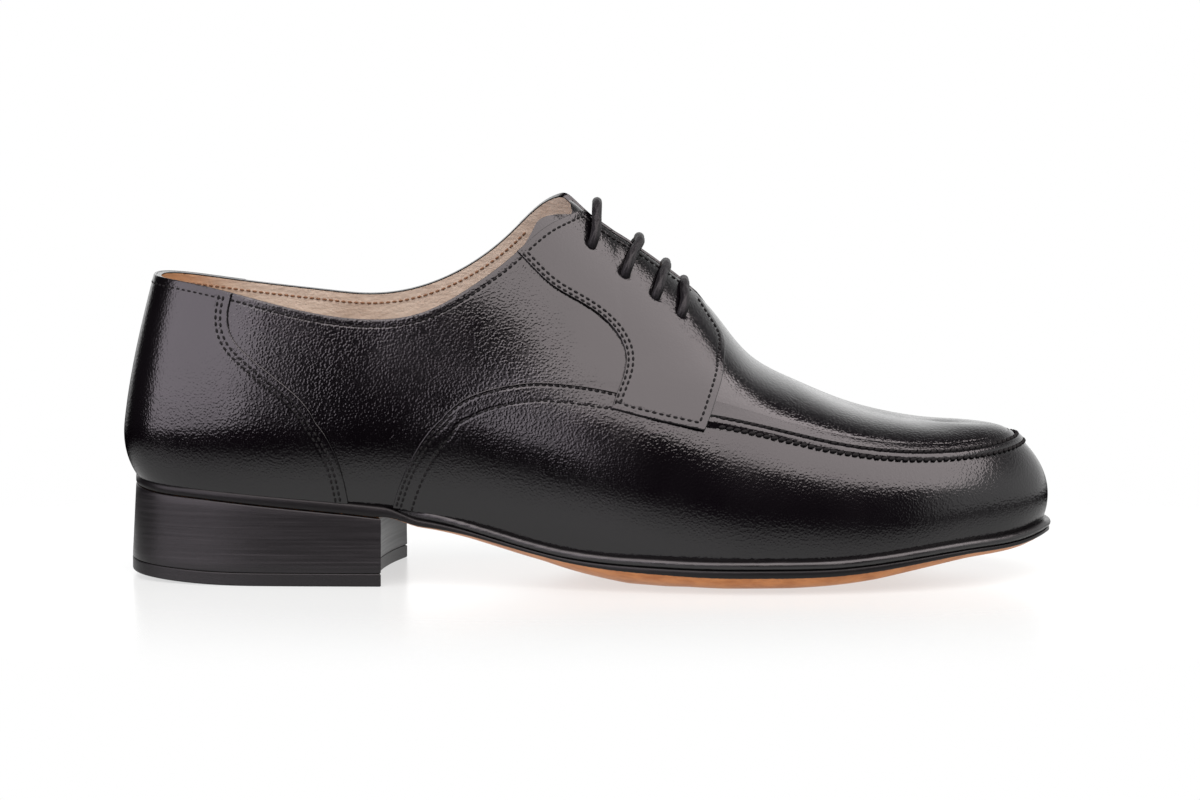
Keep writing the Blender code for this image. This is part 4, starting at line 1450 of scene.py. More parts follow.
        spots = four_sided(along(lambda t: np.full(len(t), self.tuck), 0), along(self.top, 1), inner, outer)
        mesh = self.shop.skin(*self.CELLS["counter"], spots, flat_lift(self.panel))
        press_seams(mesh, self.counter_seams())
        hem(mesh, self.fold, self.panel)
        self.shop.keep(mesh, "heel_counter", self.shop.finishes.leather, "counter")

    def counter_seams(self) -> list[Seam]:
        """The rows of stitches inside the counter's edges and along its part of the top line."""
        rows = []
        for side in Side:
            for reach, *span in self.counter_rows:
                track = self.counter_tracks[side].beside(-side.value * reach, *span)
                rows.append(Seam(track, self.panel + self.thread_lift))
        ends = (self.counter_tracks[side](np.array([1.0]))[0, 0] for side in (Side.INNER, Side.OUTER))
        reach, *span = self.counter_top_row
        top = self.top_edge(*ends, 60).beside(-reach, *span, 60)
        return [*rows, Seam(top, self.panel - self.thread_lift)]

    def wing_lift(self, points: Array) -> Array:
        """How far the vamp stands off the last: a panel's thickness at its wings, nothing in front."""
        return self.panel * (1 - ease(points[:, 0], *self.wing_fade))

    def make_vamp(self) -> None:
        """The vamp's wall, from wing to wing round the toe, with the raised band below the apron."""
        last = self.shop.last
        outer, inner = self.wing_tracks[Side.OUTER], self.wing_tracks[Side.INNER]
        ends = [track(np.array([0.0, 1.0])) for track in (outer, inner)]
        (low_outer, high_outer), (low_inner, high_inner) = ends

        def foot(share: Array) -> Array:
            """The vamp's lower edge."""
            t = low_outer[0] + (low_inner[0] - low_outer[0]) * share
            return np.stack([t, np.full(len(t), self.tuck)], axis=1)

        def top(share: Array) -> Array:
            """The apron's edge, led to the wings under the facings."""
            t = high_outer[0] + (high_inner[0] - high_outer[0]) * share
            from_end = np.minimum(share, 1 - share)
            start = np.where(share < 0.5, high_outer[1], high_inner[1])
            return np.stack([t, start + (1.0 - start) * ease(from_end, 0.0, self.wing_lead)], axis=1)

        spots = four_sided(foot, top, outer, inner)

        def crowded(u: Array, v: Array) -> Pair:
            """More rows near the apron than at the foot."""
            power, evening = self.crowding
            return spots(u, 1 - (1 - v) ** power * (1 - evening * v))

        def lift(points: Array, t: Array, w: Array) -> Array:
            """The wings' step and the rounded band below the apron."""
            wall = np.linalg.norm(last.point(t, np.ones(len(t))) - last.point(t, np.zeros(len(t))), axis=1)
            below = (1 - w) * wall
            band = 1 - ease(below, *(self.band * share for share in self.band_fade))
            edge = ease(below, *self.band_edge)
            front = ease(points[:, 0], *self.band_front)
            crown = bump(below, self.band / 2, self.band) * self.band_crown + 1 - self.band_crown
            return self.wing_lift(points) + self.band_rise * band * edge * front * crown

        mesh = self.shop.skin(*self.CELLS["vamp"], crowded, lift)
        seams = [seam for side in Side for seam in self.wing_seams(side)]
        press_seams(mesh, [*seams, *self.apron_seams()])
        hem(mesh, self.fold, self.panel)
        self.shop.keep(mesh, "vamp", self.shop.finishes.leather)

    def wing_seams(self, side: Side) -> list[Seam]:
        """The rows of stitches inside a wing's edge."""
        track, lift = self.wing_tracks[side], self.panel + self.thread_lift
        return [Seam(track.beside(side.value * reach, *span), lift) for reach, *span in self.wing_rows]

    def apron_seams(self, lifts: tuple = (0.0, 0.0)) -> list[Seam]:
        """The two rows of heavy stitches along the apron, from facing to facing round the toe.

        Args:
            lifts: How far the rows at the apron's edge and below the band stand off the last.

        Returns:
            The rows.
        """
        last, count = self.shop.last, 161
        t = np.linspace(*(last.foot_at(self.apron_start, side) for side in Side), count)
        edge = Track(last, np.stack([t, np.full(count, self.apron_w)], axis=1))
        tracks = edge, edge.beside(-self.band * self.band_row, count=count)
        return [Seam(track, lift, APRON_STITCH) for track, lift in zip(tracks, lifts)]

    def make_plug(self) -> None:
        """The apron: the smooth top of the vamp, over the ridge from seam to seam."""
        last = self.shop.last
        start = last.foot_at(self.plug_start, Side.OUTER)
        ridge = last.ridge_at(self.plug_ridge)

        def spots(u: Array, v: Array) -> Pair:
            """From the outer seam over the ridge to the inner one, and from the throat to the toe."""
            across = 2 * u - 1
            t = last.half - (last.half - start - (ridge - start) * (1 - np.abs(across))) * (1 - v)
            return np.where(across < 0, t, 2 * last.half - t), 2 - np.abs(across)

        def lift(points: Array, t: Array, w: Array) -> Array:
            """Sinks the apron's edge under the seam."""
            return -self.plug_sink * (1 - ease(w, *self.plug_span))

        mesh = self.shop.skin(*self.CELLS["plug"], spots, lift)
        weld(mesh)
        behind, half = self.plug_tip
        tip = [vert for vert in mesh.verts if abs(vert.co.y) < half and vert.co.x > behind]
        smooth(mesh, [vert for vert in tip if not vert.is_boundary], self.plug_rounds)
        press_seams(mesh, self.apron_seams()[:1])
        bmesh.ops.reverse_faces(mesh, faces=mesh.faces)
        self.shop.keep(mesh, "apron", self.shop.finishes.plug)

    def facing_lift(self, points: Array) -> Array:
        """How far a facing stands off the last: more where it lies on the wing."""
        low, high = self.facing_fade
        return self.facing_step + self.facing_rise * ease(-points[:, 2], -high, -low)

    def make_facing(self, side: Side) -> None:
        """An eyelet panel, laid over the quarter and the vamp."""
        last = self.shop.last
        rear = self.edge(self.FACING_REAR, side)
        rear[-1, 1] = self.top(rear[-1, 0])
        front = self.edge(self.FACING_FRONT, side)
        corner = last.spot((self.throat_ends[1], side.value * self.throat_halves[1]), side, plan=True)
        front = np.vstack([front, corner])
        foot = self.edge(self.FACING_FOOT, side)
        rear_track, front_track, foot_track = (Track(last, places) for places in (rear, front, foot))
        start, stop = rear[-1, 0], corner[0]

        ribs = np.linspace(min(start, stop), max(start, stop), self.rib_count)
        along = last.ring(ribs)[:, 6]
        halves = np.interp(along, self.throat_ends, self.throat_halves)
        slot = np.array([last.beside_ridge(t, half) for t, half in zip(ribs, halves)])
        within = ease(along, *(self.throat_ends[0] + reach for reach in self.throat_blend))
        ends = np.minimum(self.top(ribs), slot) * (1 - within) + slot * within
        ends = softened(ends, self.soft_throat)

        def top(share: Array) -> Array:
            """The collar's and the throat's edge."""
            t = start + (stop - start) * share
            w = np.interp(t, ribs, ends)
            return np.stack([t, w + (corner[1] - np.interp(stop, ribs, ends)) * share ** 8], axis=1)

        loose = Track(last, top(np.linspace(0, 1, 9)))
        even = four_sided(foot_track, loose, rear_track, front_track)

        def spots(u: Array, v: Array) -> Pair:
            """The patch under an evened top line, drawn out to the true one at its rim."""
            pull = ((top(u) - loose(u)) * (v ** 6)[:, None]).T
            return tuple(a + b for a, b in zip(even(u, v), pull))

        def lifted(points: Array, t: Array, w: Array) -> Array:
            """A panel over another one, dented at the eyelets."""
            here = points + last.centre
            holes = [np.linalg.norm(here - eye, axis=1) for eye in self.shop.eyelets[side]]
            dent = bump(np.min(holes, axis=0), 0.0, self.pucker_width)
            return self.facing_lift(points) - self.pucker * dent

        shares = np.linspace(0, 1, 400)
        begin = shares[np.argmax(last.point(*top(shares).T)[:, 0] > self.throat_start)]
        self.throat_edges[side] = Track(last, top(np.linspace(begin, self.throat_stop, 41)))
        mesh = self.shop.skin(*self.CELLS["facing"], spots, lifted)
        smooth(mesh, [vert for vert in mesh.verts if not vert.is_boundary], self.facing_rounds)
        self.seams[side] = self.facing_seams(side, rear_track, front_track, foot_track, top)
        press_seams(mesh, self.seams[side])
        if side is Side.INNER:
            bmesh.ops.reverse_faces(mesh, faces=mesh.faces)
        hem(mesh, self.fold, self.facing_step + self.facing_rise)
        name = "lateral" if side is Side.OUTER else "medial"
        self.shop.keep(mesh, "eyelet_facing_" + name, self.shop.finishes.leather, "facing_" + name)

    def facing_seams(
        self, side: Side, rear: Track, front: Track, foot: Track, top: Line,
    ) -> list[Seam]:
        """The rows of stitches round a facing.

        Args:
            side: Side of the shoe.
            rear: Its rear edge, from the foot up.
            front: Its front edge, from the foot up.
            foot: Its lower edge, from the rear forward.
            top: Its collar and throat edge, from the rear forward.

        Returns:
            The rows.
        """
        turn, count = -side.value, 81
        upper = Track(self.shop.last, top(np.linspace(0, 1, count)))

        def lift(points: Array) -> Array:
            """Just above the panel."""
            return self.facing_lift(points) + self.thread_lift

        tracks = [rear.beside(-turn * reach, *span) for reach, *span in self.rear_rows]
        for track, (reach, *span) in ((front, self.front_row), (foot, self.foot_row)):
            tracks.append(track.beside(turn * reach, *span))
        reach, *span = self.upper_row
        tracks.append(upper.beside(-turn * reach, *span, count))
        return [Seam(track, lift) for track in tracks]

    def make_throat_edges(self) -> None:
        """The lining's raw edge along each facing at the throat, and the inner facing's black one."""
        pale, black = self.shop.finishes.lining, self.shop.finishes.leather
        middle, sunk, thin = self.facing_step / 3, -self.facing_step * self.edge_sunk, self.edge_radius
        for name, side, height, radius, finish in (
            ("lining_edge_outer", Side.OUTER, middle, thin, pale),
            ("lining_edge_inner", Side.INNER, sunk, thin * 2, pale),
            ("facing_edge_inner", Side.INNER, middle, thin * 2, black),
        ):
            points, normals = self.throat_edges[side].points(200, height)
            along = unit(np.gradient(points, axis=0))
            out = np.cross(normals, along)
            count = len(points) - 1

            def place(u: Array, v: Array) -> Array:
                """A thin round strip."""
                here = np.rint(u * count).astype(int)
                angle = (2 * math.pi * v)[:, None]
                ring = out[here] * np.cos(angle) + normals[here] * np.sin(angle)
                return points[here] + ring * radius + self.shop.last.centre

            mesh = laid_grid(count, 8, place)
            weld(mesh)
            bmesh.ops.recalc_face_normals(mesh, faces=mesh.faces)
            if finish is black:
                set_field(mesh, "seam", np.zeros(len(mesh.verts)))
            self.shop.keep(mesh, name, finish, sharp=180)

    def make_lining(self) -> None:
        """The pale lining inside the wall, and under the apron."""
        last = self.shop.last

        def spots(u: Array, v: Array) -> Pair:
            """All the way round."""
            t = (2 * u - 1) * last.half
            return t, (self.top(t) - self.lining_below) * v

        mesh = self.shop.skin(*self.CELLS["lining"], spots, flat_lift(-self.wall))
        weld(mesh)
        bmesh.ops.reverse_faces(mesh, faces=mesh.faces)
        self.shop.keep(mesh, "lining", self.shop.finishes.lining)

    def sew(self) -> None:
        """Makes the rows of stitches."""
        finishes = self.shop.finishes
        for name, seams in (
            ("counter", self.counter_seams()),
            ("topline", [self.topline_seam(self.topline_row)]),
            ("wings", [seam for side in Side for seam in self.wing_seams(side)]),
            ("facings", [seam for side in Side for seam in self.seams[side]]),
            ("apron", self.apron_seams(self.apron_lifts)),
        ):
            sewn(self.shop, "stitches_" + name, seams, finishes.black_thread)
        inside = self.topline_seam(self.lining_row)
        inside.lift = -self.wall - self.thread_lift
        sewn(self.shop, "stitches_lining", [inside], finishes.brown_thread)


@dataclass
class Tongue:
    """The tongue, under the throat, with its upper end sunk behind the facings.

    Its front, back and corners are places on the ridge, in metres from the heel, and reach is half
    its width. It sinks by two amounts, one at the near side and one at the far side.
    """

    shop: Workshop
    reach: float = 0.0255
    front: float = 0.196
    back: float = 0.146
    corners: tuple = (0.1255, 0.1337)
    shoulders: tuple = (-1.0, -0.50, -0.25)
    depth: float = 0.0040
    sunk: float = 0.0085
    sunk_x: tuple = (0.124, 0.149)
    sunk_y: tuple = (-0.016, -0.008)
    sunk_far: float = 0.0100
    far_x: tuple = (0.130, 0.148)
    far_y: tuple = (-0.010, 0.010)
    rounds: int = 2
    cells: tuple = (60, 90)

    def build(self) -> None:
        """Makes the tongue."""
        last = self.shop.last
        start, end, corner, peak = (last.ridge_at(x) for x in (self.back, self.front, *self.corners))
        ribs = np.linspace(corner, end, 60)
        side_w = [last.beside_ridge(t, self.reach) for t in ribs]

        def spots(u: Array, v: Array) -> Pair:
            """From the outer edge over the ridge to the inner one, and from the top to the front."""
            across = 2 * u - 1
            first = np.interp(across, self.shoulders, (corner, peak, start))
            t = first + (end - first) * v
            w = 2 - (2 - np.interp(t, ribs, side_w)) * np.abs(across)
            return np.where(across < 0, t, 2 * last.half - t), w

        def lift(points: Array, t: Array, w: Array) -> Array:
            """Below the wall, sinking towards its upper end."""
            x, y, _ = points.T
            near = self.sunk * (1 - ease(x, *self.sunk_x)) * ease(y, *self.sunk_y)
            far = self.sunk_far * (1 - ease(x, *self.far_x)) * ease(y, *self.far_y)
            return -self.depth - near - far

        mesh = self.shop.skin(*self.cells, spots, lift)
        weld(mesh)
        bmesh.ops.reverse_faces(mesh, faces=mesh.faces)
        smooth(mesh, mesh.verts, self.rounds)
        self.shop.keep(mesh, "tongue_leather", self.shop.finishes.leather, "tongue")


@dataclass
class Bottom:
    """Welt, outsole, heel, lift and sock."""

    shop: Workshop
    gap: float = 0.0003
    crowding: float = 0.25
    paint_blur: float = 0.0016
    welt_thick: float = 0.0022
    welt_reach: float = 0.0024
    welt_inner: float = 0.006
    welt_flat: float = 0.2
    welt_nose: float = 0.55
    welt_start: float = 0.084
    welt_taper: float = 0.012
    welt_lead: float = 0.42
    welt_before: float = 0.004
    welt_growth: float = 0.030
    welt_clear: tuple = (0.00005, 0.0001)
    heel_length: float = 0.0835
    heel_side: float = 0.8
    heel_clear: float = 0.00005
    heel_edge: float = 0.0004
    breast_hollow: float = 0.0045
    breast_skew: float = 0.0052
    lift_thick: float = 0.0042
    heel_pitch: float = 0.0022
    pitch_start: float = 0.042
    heel_flare: float = 0.0014
    sock_inset: float = 0.0022
    sock_rise: float = 0.0030
    sock_dish: float = 0.0012
    dish_span: tuple = (0.045, 0.06)
    sole_cells: int = 320
    welt_cells: int = 420
    heel_cells: tuple = (250, 8)
    sock_cells: tuple = (40, 160)

    # Level and inset of each line of the outsole's section, from its upper edge to its middle
    PROFILE = (
        (0.0, 0.0009), (0.06, 0.0003), (0.2, 0.0), (0.8, 0.0), (0.95, 0.0002), (1.08, 0.0007),
        (1.5, 0.0021), (2.0, 0.0042), (2.5, 0.0085), (3.0, 0.016),
    )
    # Share of the length, then the drop from each level to the next: edge, slope and belly
    SOLE_ROWS = (
        (0.000, 0.0028, 0.0001, 0.0001),
        (0.270, 0.0037, 0.0001, 0.0001),
        (0.310, 0.0022, 0.0008, 0.0010),
        (0.370, 0.0015, 0.0010, 0.0018),
        (0.450, 0.0012, 0.0013, 0.0024),
        (0.540, 0.0020, 0.0026, 0.0034),
        (0.640, 0.0026, 0.0030, 0.0028),
        (0.710, 0.0026, 0.0030, 0.0026),
        (0.800, 0.0022, 0.0028, 0.0018),
        (0.900, 0.0014, 0.0018, 0.0012),
        (1.010, 0.0012, 0.0012, 0.0008),
    )

    def build(self) -> None:
        """Makes every piece of the bottom."""
        self.make_outsole()
        self.make_welt()
        self.make_heel()
        self.make_sock()

    def rim(self, t: Array, reach: Array) -> Array:
        """Points in plan beside the foot of the ribs."""
        last = self.shop.last
        return last.ring(t)[:, :2] + last.outward(t)[:, :2] * np.asarray(reach)[:, None]

    def drop(self, x: Array) -> Array:
        """How far the outsole's upper face lies below the feather line, to make room for the welt."""
        share = ease(x, self.welt_start, self.welt_start + self.welt_taper)
        return self.gap + (self.welt_thick + self.gap) * share

    def height(self, x: Array, level: float) -> Array:
        """Height of the outsole: 0 is its upper face, 1 the edge's foot, 2 the slope's, 3 the middle."""
        knots, *parts = zip(*self.SOLE_ROWS)
        height = self.shop.last.seat(x) - self.drop(x)
        for number, part in enumerate(parts):
            share = min(max(level - number, 0.0), 1.0)
            height = height - share * np.interp(x / self.shop.last.length, knots, part)
        return height

    def make_outsole(self) -> None:
        """The outsole: a black edge over natural leather, from the tip of the toe to the heel."""
        last = self.shop.last
        count = len(self.PROFILE)

        def place(u: Array, v: Array) -> Array:
            """Slices across the shoe, from the outer edge's top under the sole to the inner edge's top."""
            out = np.empty((len(u), 3))
            turn = np.rint(u * (2 * count - 1)).astype(int)
            for number in np.unique(turn):
                pick = turn == number
                side = Side.OUTER if number < count else Side.INNER
                level, inset = self.PROFILE[number if number < count else 2 * count - 1 - number]
                share = v[pick] - self.crowding * np.sin(2 * math.pi * v[pick]) / (2 * math.pi)
                t = last.mirrored(last.half * share, side)
                x, y = self.rim(t, last.reach(last.ring(t)[:, 0]) - inset).T
                y = np.where(side.value * y > 0, y, 0.0)
                out[pick] = np.stack([x, y, np.maximum(self.height(x, level), 0.0)], axis=1)
            return out + last.centre

        mesh = laid_grid(2 * count - 1, self.sole_cells, place)
        weld(mesh)
        x, _, z = np.array([vert.co for vert in mesh.verts]).T
        paint = 0.5 + (z - self.height(x - last.centre[0], 1.0)) / self.paint_blur
        set_field(mesh, "paint", np.clip(paint, 0.0, 1.0))
        bmesh.ops.recalc_face_normals(mesh, faces=mesh.faces)
        bmesh.ops.contextual_create(mesh, geom=[edge for edge in mesh.edges if edge.is_boundary])
        bmesh.ops.recalc_face_normals(mesh, faces=mesh.faces)
        self.shop.keep(mesh, "outsole_leather", self.shop.finishes.sole, "outsole", sharp=75)

    def make_welt(self) -> None:
        """The rand: a rounded bead round the front of the shoe, waxed and glossy."""
        last = self.shop.last
        start = self.welt_start + self.welt_taper * self.welt_lead
        first, final = (last.foot_at(start, side) for side in Side)
        turns = np.linspace(0.0, math.pi, 9)
        nose = [(1.0 - self.welt_nose * (1 - math.sin(a)), 0.5 - 0.5 * math.cos(a)) for a in turns]
        flat = self.welt_flat
        section = np.array([(-1.0, 0.0), (flat, 0.0), *nose, (flat, 1.0), (-1.0, 1.0)])
        count = len(section)

        def place(u: Array, v: Array) -> Array:
            """The section, run round the toe."""
            t = first + (final - first) * u
            reach, share = section[np.rint(v * count).astype(int) % count].T
            grown = ease(self.rim(t, 0 * t)[:, 0], start - self.welt_before, start + self.welt_growth)
            x, y = self.rim(t, reach * np.where(reach > 0, self.welt_reach * grown, self.welt_inner)).T
            low, high = self.height(x, 0.0) + self.welt_clear[0], last.seat(x) - self.welt_clear[1]
            return np.stack([x, y, low + (high - low) * share], axis=1) + last.centre

        mesh = laid_grid(self.welt_cells, count, place)
        weld(mesh)
        close(mesh)
        self.shop.keep(mesh, "welt_rand", self.shop.finishes.edge, "welt")

    def heel_outline(self, share: Array, flare: Array) -> Array:
        """Points in plan round the heel: its curved side from the outer corner, then its hollow breast.

        Args:
            share: 0 at the outer corner, heel_side at the inner one, 1 at the outer one again.
            flare: How far the side stands out.

        Returns:
            x and y of each point, in the last's own frame.
        """
        last = self.shop.last
        outer = last.foot_at(self.heel_length, Side.OUTER)
        inner = last.foot_at(self.heel_length + self.breast_skew, Side.INNER) - 2 * last.half
        side_share = np.minimum(share / self.heel_side, 1.0)
        side = self.rim(outer + (inner - outer) * side_share, last.heel_reach + flare)
        across = np.clip((share - self.heel_side) / (1 - self.heel_side), 0.0, 1.0)
        corners = [self.rim(np.full(len(share), t), last.heel_reach + flare) for t in (inner, outer)]
        breast = corners[0] * (1 - across)[:, None] + corners[1] * across[:, None]
        breast[:, 0] -= self.breast_hollow * 4 * across * (1 - across)
        return np.where((share <= self.heel_side)[:, None], side, breast)

    def pitch(self, x: Array) -> Array:
        """Height of the walking face, lifted a little at the very back."""
        return self.heel_pitch * np.maximum((self.pitch_start - x) / self.pitch_start, 0.0) ** 2

    def block(
        self, name: str, low: Line, high: Line, flares: tuple, finish: Finish, node: str,
    ) -> None:
        """A layer of the heel between two heights.

        Args:
            name: Name of the piece.
            low: Its lower height, as a function of x.
            high: Its upper height.
            flares: How far it stands out at its foot and at its top.
            finish: Its finish.
            node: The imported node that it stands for.
        """
        last = self.shop.last

        def place(u: Array, v: Array) -> Array:
            """The side, from foot to top."""
            x, y = self.heel_outline(u, flares[0] + (flares[1] - flares[0]) * v).T
            return np.stack([x, y, low(x) + (high(x) - low(x)) * v], axis=1) + last.centre

        mesh = laid_grid(*self.heel_cells, place)
        weld(mesh)
        rims = [edge for edge in mesh.edges if edge.is_boundary]
        close(mesh)
        bmesh.ops.bevel(
            mesh, geom=rims, offset=self.heel_edge, offset_type="OFFSET", segments=3, profile=0.5,
            affect="EDGES", material=-1,
        )
        self.shop.keep(mesh, name, finish, node, sharp=40)

    def make_heel(self) -> None:
        """The stacked heel and the rubber lift under it."""
        finishes, gap, flare = self.shop.finishes, self.heel_clear, self.heel_flare

        def lift_top(x: Array) -> Array:
            """Height of the lift's upper face."""
            return self.pitch(x) + self.lift_thick

        self.block(
            "heel_block", lambda x: lift_top(x) + gap, lambda x: self.height(x, 3.0) - gap,
            (flare, 0.0), finishes.heel, "heel_stack",
        )
        self.block(
            "heel_lift", self.pitch, lift_top, (flare, flare), finishes.rubber, "heel_top_piece",
        )

    def make_sock(self) -> None:
        """The sock on the insole, dished a little under the heel."""
        last = self.shop.last

        def place(u: Array, v: Array) -> Array:
            """Slices across the shoe."""
            across = 2 * u - 1
            t, inset = last.half * v, np.full(len(v), -self.sock_inset)
            outer, inner = (self.rim(last.mirrored(t, side), inset).T for side in Side)
            x, y = outer * (1 - across) / 2 + inner * (1 + across) / 2
            dish = self.sock_dish * (1 - across ** 2) * bump(x, *self.dish_span)
            return np.stack([x, y, last.seat(x) + self.sock_rise - dish], axis=1) + last.centre

        mesh = laid_grid(*self.sock_cells, place)
        weld(mesh)
        for face in mesh.faces:
            if face.normal.z < 0:
                face.normal_flip()
        self.shop.keep(mesh, "sock", self.shop.finishes.sock, "insole")


@dataclass
class Laces:
    """One waxed lace, seen as a bar over the throat at each pair of eyelets.

    Each bar has its place as a share of the length, its half width, how far it leans forward in
    the middle, and how low it sags.
    """

    shop: Workshop
    radius: float = 0.0016
    crown: float = 0.0012
    nudge: float = 1e-3
    cells: tuple = (90, 14)
    across: tuple = (0.0165, 0.0180, 0.0190, 0.0195)
    eyelets: tuple = (0.501, 0.5365, 0.569, 0.596)
    leans: tuple = (-0.0001, 0.0028, 0.0022, 0.0004)
    lows: tuple = (0.0003, 0.0, 0.0012, 0.0020)

    # Half of a bar, from its end to its middle: share of its half width, height and share of its lean
    ROUTE = (
        (1.0, -0.0035, 0.1), (1.0, 0.0006, 0.0), (0.86, 0.0032, 0.15), (0.62, 0.0034, 0.6),
        (0.42, 0.0034, 1.0),
    )

    def spot(self, x: float, y: float) -> Pair:
        """The wall's point at x and y, and the outward direction there."""
        last = self.shop.last
        t, w = last.spot((x, y), Side.OUTER if y < 0 else Side.INNER, plan=True)[:, None]
        return last.point(t, w)[0], last.normal(t, w)[0]

    def __post_init__(self) -> None:
        """Marks the eyelets for the facings."""
        last = self.shop.last
        for side in Side:
            self.shop.eyelets[side] = [
                self.spot(share * last.length, side.value * across)[0] + last.centre
                for share, across in zip(self.eyelets, self.across)
            ]

    def build(self) -> None:
        """Makes the bars."""
        half = [(-y, height, forward) for y, height, forward in self.ROUTE]
        route = half + list(self.ROUTE[::-1])
        bars = zip(self.eyelets, self.across, self.leans, self.lows)
        for number, (share, across, lean, low) in enumerate(bars, 1):
            path = []
            for y, height, forward in route:
                point, normal = self.spot(share * self.shop.last.length + forward * lean, y * across)
                path.append(point + normal * (height - low * (1 - y * y)))
            crown = (path[len(half) - 1] + path[len(half)]) / 2
            crown[2] += self.crown - low / 2
            path.insert(len(half), crown)
            mesh, cord = self.tube(np.array(path), *self.cells), self.shop.finishes.cord
            self.shop.keep(mesh, f"lace_{number}", cord, f"lace_bar_{number}", sharp=180)

    def tube(self, path: Array, along: int, around: int) -> Mesh:
        """A round cord through points, with turns and metres of the braid as its UV map.

        Args:
            path: Points that the cord passes.
            along: Number of cells along it.
            around: Number of cells round it.

        Returns:
            The mesh.
        """
        curve = smooth_through(path)
        centre = self.shop.last.centre

        def place(u: Array, v: Array) -> Array:
            """The cord's skin."""
            here = curve(u)
            ahead, behind = np.minimum(u + self.nudge, 1.0), np.maximum(u - self.nudge, 0.0)
            tangent = unit(curve(ahead) - curve(behind))
            side = unit(np.cross(tangent, np.array([1.0, 0.0, 0.0])))
            angle = (v * 2 * math.pi)[:, None]
            ring = side * np.cos(angle) + np.cross(side, tangent) * np.sin(angle)
            return here + self.radius * ring + centre

        mesh = laid_grid(along, around, place)
        length = float(np.linalg.norm(np.diff(curve(np.linspace(0, 1, 200)), axis=0), axis=1).sum())
        layer = mesh.loops.layers.uv["UVMap"]
        for face in mesh.faces:
            for loop in face.loops:
                u, v = loop[layer].uv
                loop[layer].uv = (v, u * length)
        weld(mesh)
        close(mesh)
        return mesh


@dataclass(frozen=True)
class SoftBox:
    """A soft box: its width and height, its watts, where it hangs, what it points at, its colour."""

    name: str
    size: tuple
    power: float
    at: tuple
    to: tuple
    colour: tuple

    def hang(self) -> None:
        """Puts the box into the scene."""
        data = bpy.data.lights.new(self.name, "AREA")
        data.shape = "RECTANGLE"
        data.size, data.size_y = self.size
        data.energy = self.power
        data.color = self.colour
        lamp = linked(self.name, data)
        lamp.location = self.at
        lamp.rotation_euler = (Vector(self.to) - Vector(self.at)).to_track_quat("-Z", "Y").to_euler()


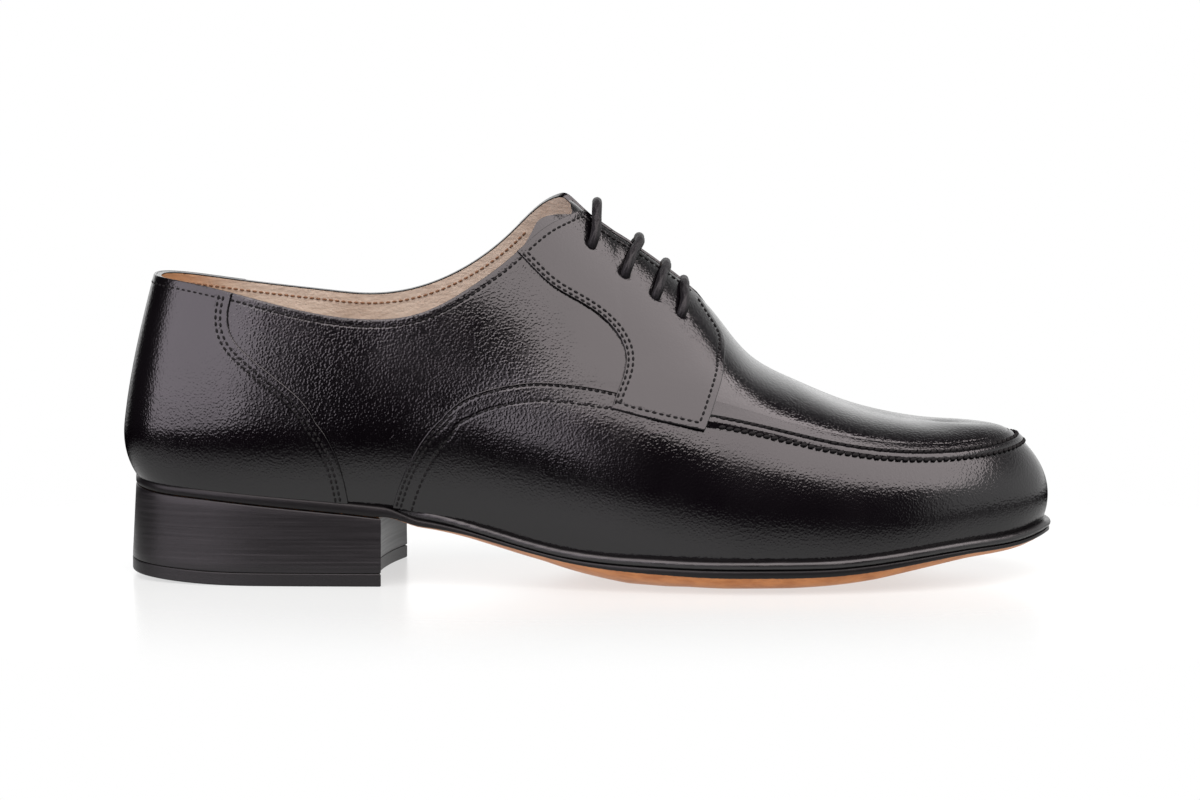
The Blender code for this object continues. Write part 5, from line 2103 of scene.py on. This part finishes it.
@dataclass
class Studio:
    """Floor, light and camera of a plain white studio.

    Scale is in pixels of the photograph's width for a millimetre, and tilt in degrees. The world
    glows behind the shoe, fading below, overhead and towards the camera.
    """

    distance: float = 1.30
    tilt: float = 6.5
    scale: float = 3.083
    aim: tuple = (0.0043, 0.0006, 0.0561)
    width: int = 1200
    sensor: float = 36.0
    floor_rim: float = 0.42
    floor_fade: float = 0.15
    floor_shape: tuple = (1.0, 2.2, 1.0)
    floor_white: tuple = (0.17, 0.187, 0.1802)
    floor_roughness: float = 0.25
    floor_specular: float = 0.1
    floor_glow: float = 0.60
    glow_slant: float = 1.1
    glow_behind: tuple = (-0.05, 0.45, 0.02, 1.1)
    glow_above: tuple = (-0.12, 0.02, 0.0, 1.0)
    glow_top: tuple = (0.30, 0.85, 1.0, 0.04)

    BOXES = (
        SoftBox("overhead_box", (2.3, 1.5), 50.0, (0.22, -0.54, 1.10), (0.0, 0.0, 0.05), (1.0, 0.9, 0.91)),
        SoftBox("left_box", (1.5, 0.85), 14.5, (-0.97, -0.87, 0.44), (0.0, 0.0, 0.06), (1.0, 0.9, 1.0)),
    )

    def build(self) -> None:
        """Builds the studio."""
        self.make_floor()
        self.make_camera()
        for box in self.BOXES:
            box.hang()
        self.make_world()
        bpy.context.scene.view_settings.view_transform = "Standard"

    def make_floor(self) -> None:
        """A pale floor with a faint reflection, which fades out round the shoe."""
        mesh = bmesh.new()
        bmesh.ops.create_grid(mesh, x_segments=1, y_segments=1, size=self.floor_rim)
        floor = linked("floor", as_data(mesh, "floor"))
        nodes = Nodes("floor_white")
        reach = nodes.add("ShaderNodeVectorMath", operation="LENGTH")
        nodes.feed(reach.inputs[0], nodes.place(self.floor_shape))
        floor.data.materials.append(nodes.finish(
            self.floor_white, self.floor_roughness, self.floor_specular,
            Alpha=nodes.span(reach.outputs["Value"], self.floor_fade, self.floor_rim, 1.0, 0.0),
            Emission_Color=(1.0, 1.0, 1.0), Emission_Strength=self.floor_glow,
        ))

    def make_camera(self) -> None:
        """The camera, level with the shoe's side and a little above it."""
        data = bpy.data.cameras.new("camera")
        data.sensor_width = self.sensor
        data.lens = self.scale * self.distance * 1000 / self.width * self.sensor
        camera = linked("camera", data)
        tilt = math.radians(self.tilt)
        camera.location = Vector(self.aim) + Vector((0.0, -math.cos(tilt), math.sin(tilt))) * self.distance
        camera.rotation_euler = (math.pi / 2 - tilt, 0.0, 0.0)
        bpy.context.scene.camera = camera

    def make_world(self) -> None:
        """Plain white for the camera; for the shoe, a glow from behind it."""
        world = bpy.data.worlds.new("studio")
        bpy.context.scene.world = world
        nodes = Tree(world)
        way = nodes.split(nodes.add("ShaderNodeTexCoord").outputs["Generated"])
        slant = nodes.math("MULTIPLY_ADD", way["X"], self.glow_slant, way["Y"])
        glow = nodes.span(slant, *self.glow_behind)
        for limits in (self.glow_above, self.glow_top):
            glow = nodes.math("MULTIPLY", glow, nodes.span(way["Z"], *limits))
        seen = nodes.add("ShaderNodeLightPath").outputs["Is Camera Ray"]
        mix = nodes.add("ShaderNodeMix")
        for index, value in ((0, seen), (2, glow), (3, 1.0)):
            nodes.feed(mix.inputs[index], value)
        background = nodes.tree.nodes["Background"]
        background.inputs["Color"].default_value = (1.0, 1.0, 1.0, 1.0)
        nodes.feed(background.inputs["Strength"], mix.outputs[0])


def main() -> None:
    """Builds the shoe and its studio."""
    logging.basicConfig(level=logging.INFO, format="%(name)s: %(message)s")
    Studio().build()
    shop = Workshop(Last(), Finishes())
    laces = Laces(shop)
    for part in (Upper(shop), Tongue(shop), Bottom(shop), laces):
        part.build()


if __name__ == "__main__":
    main()
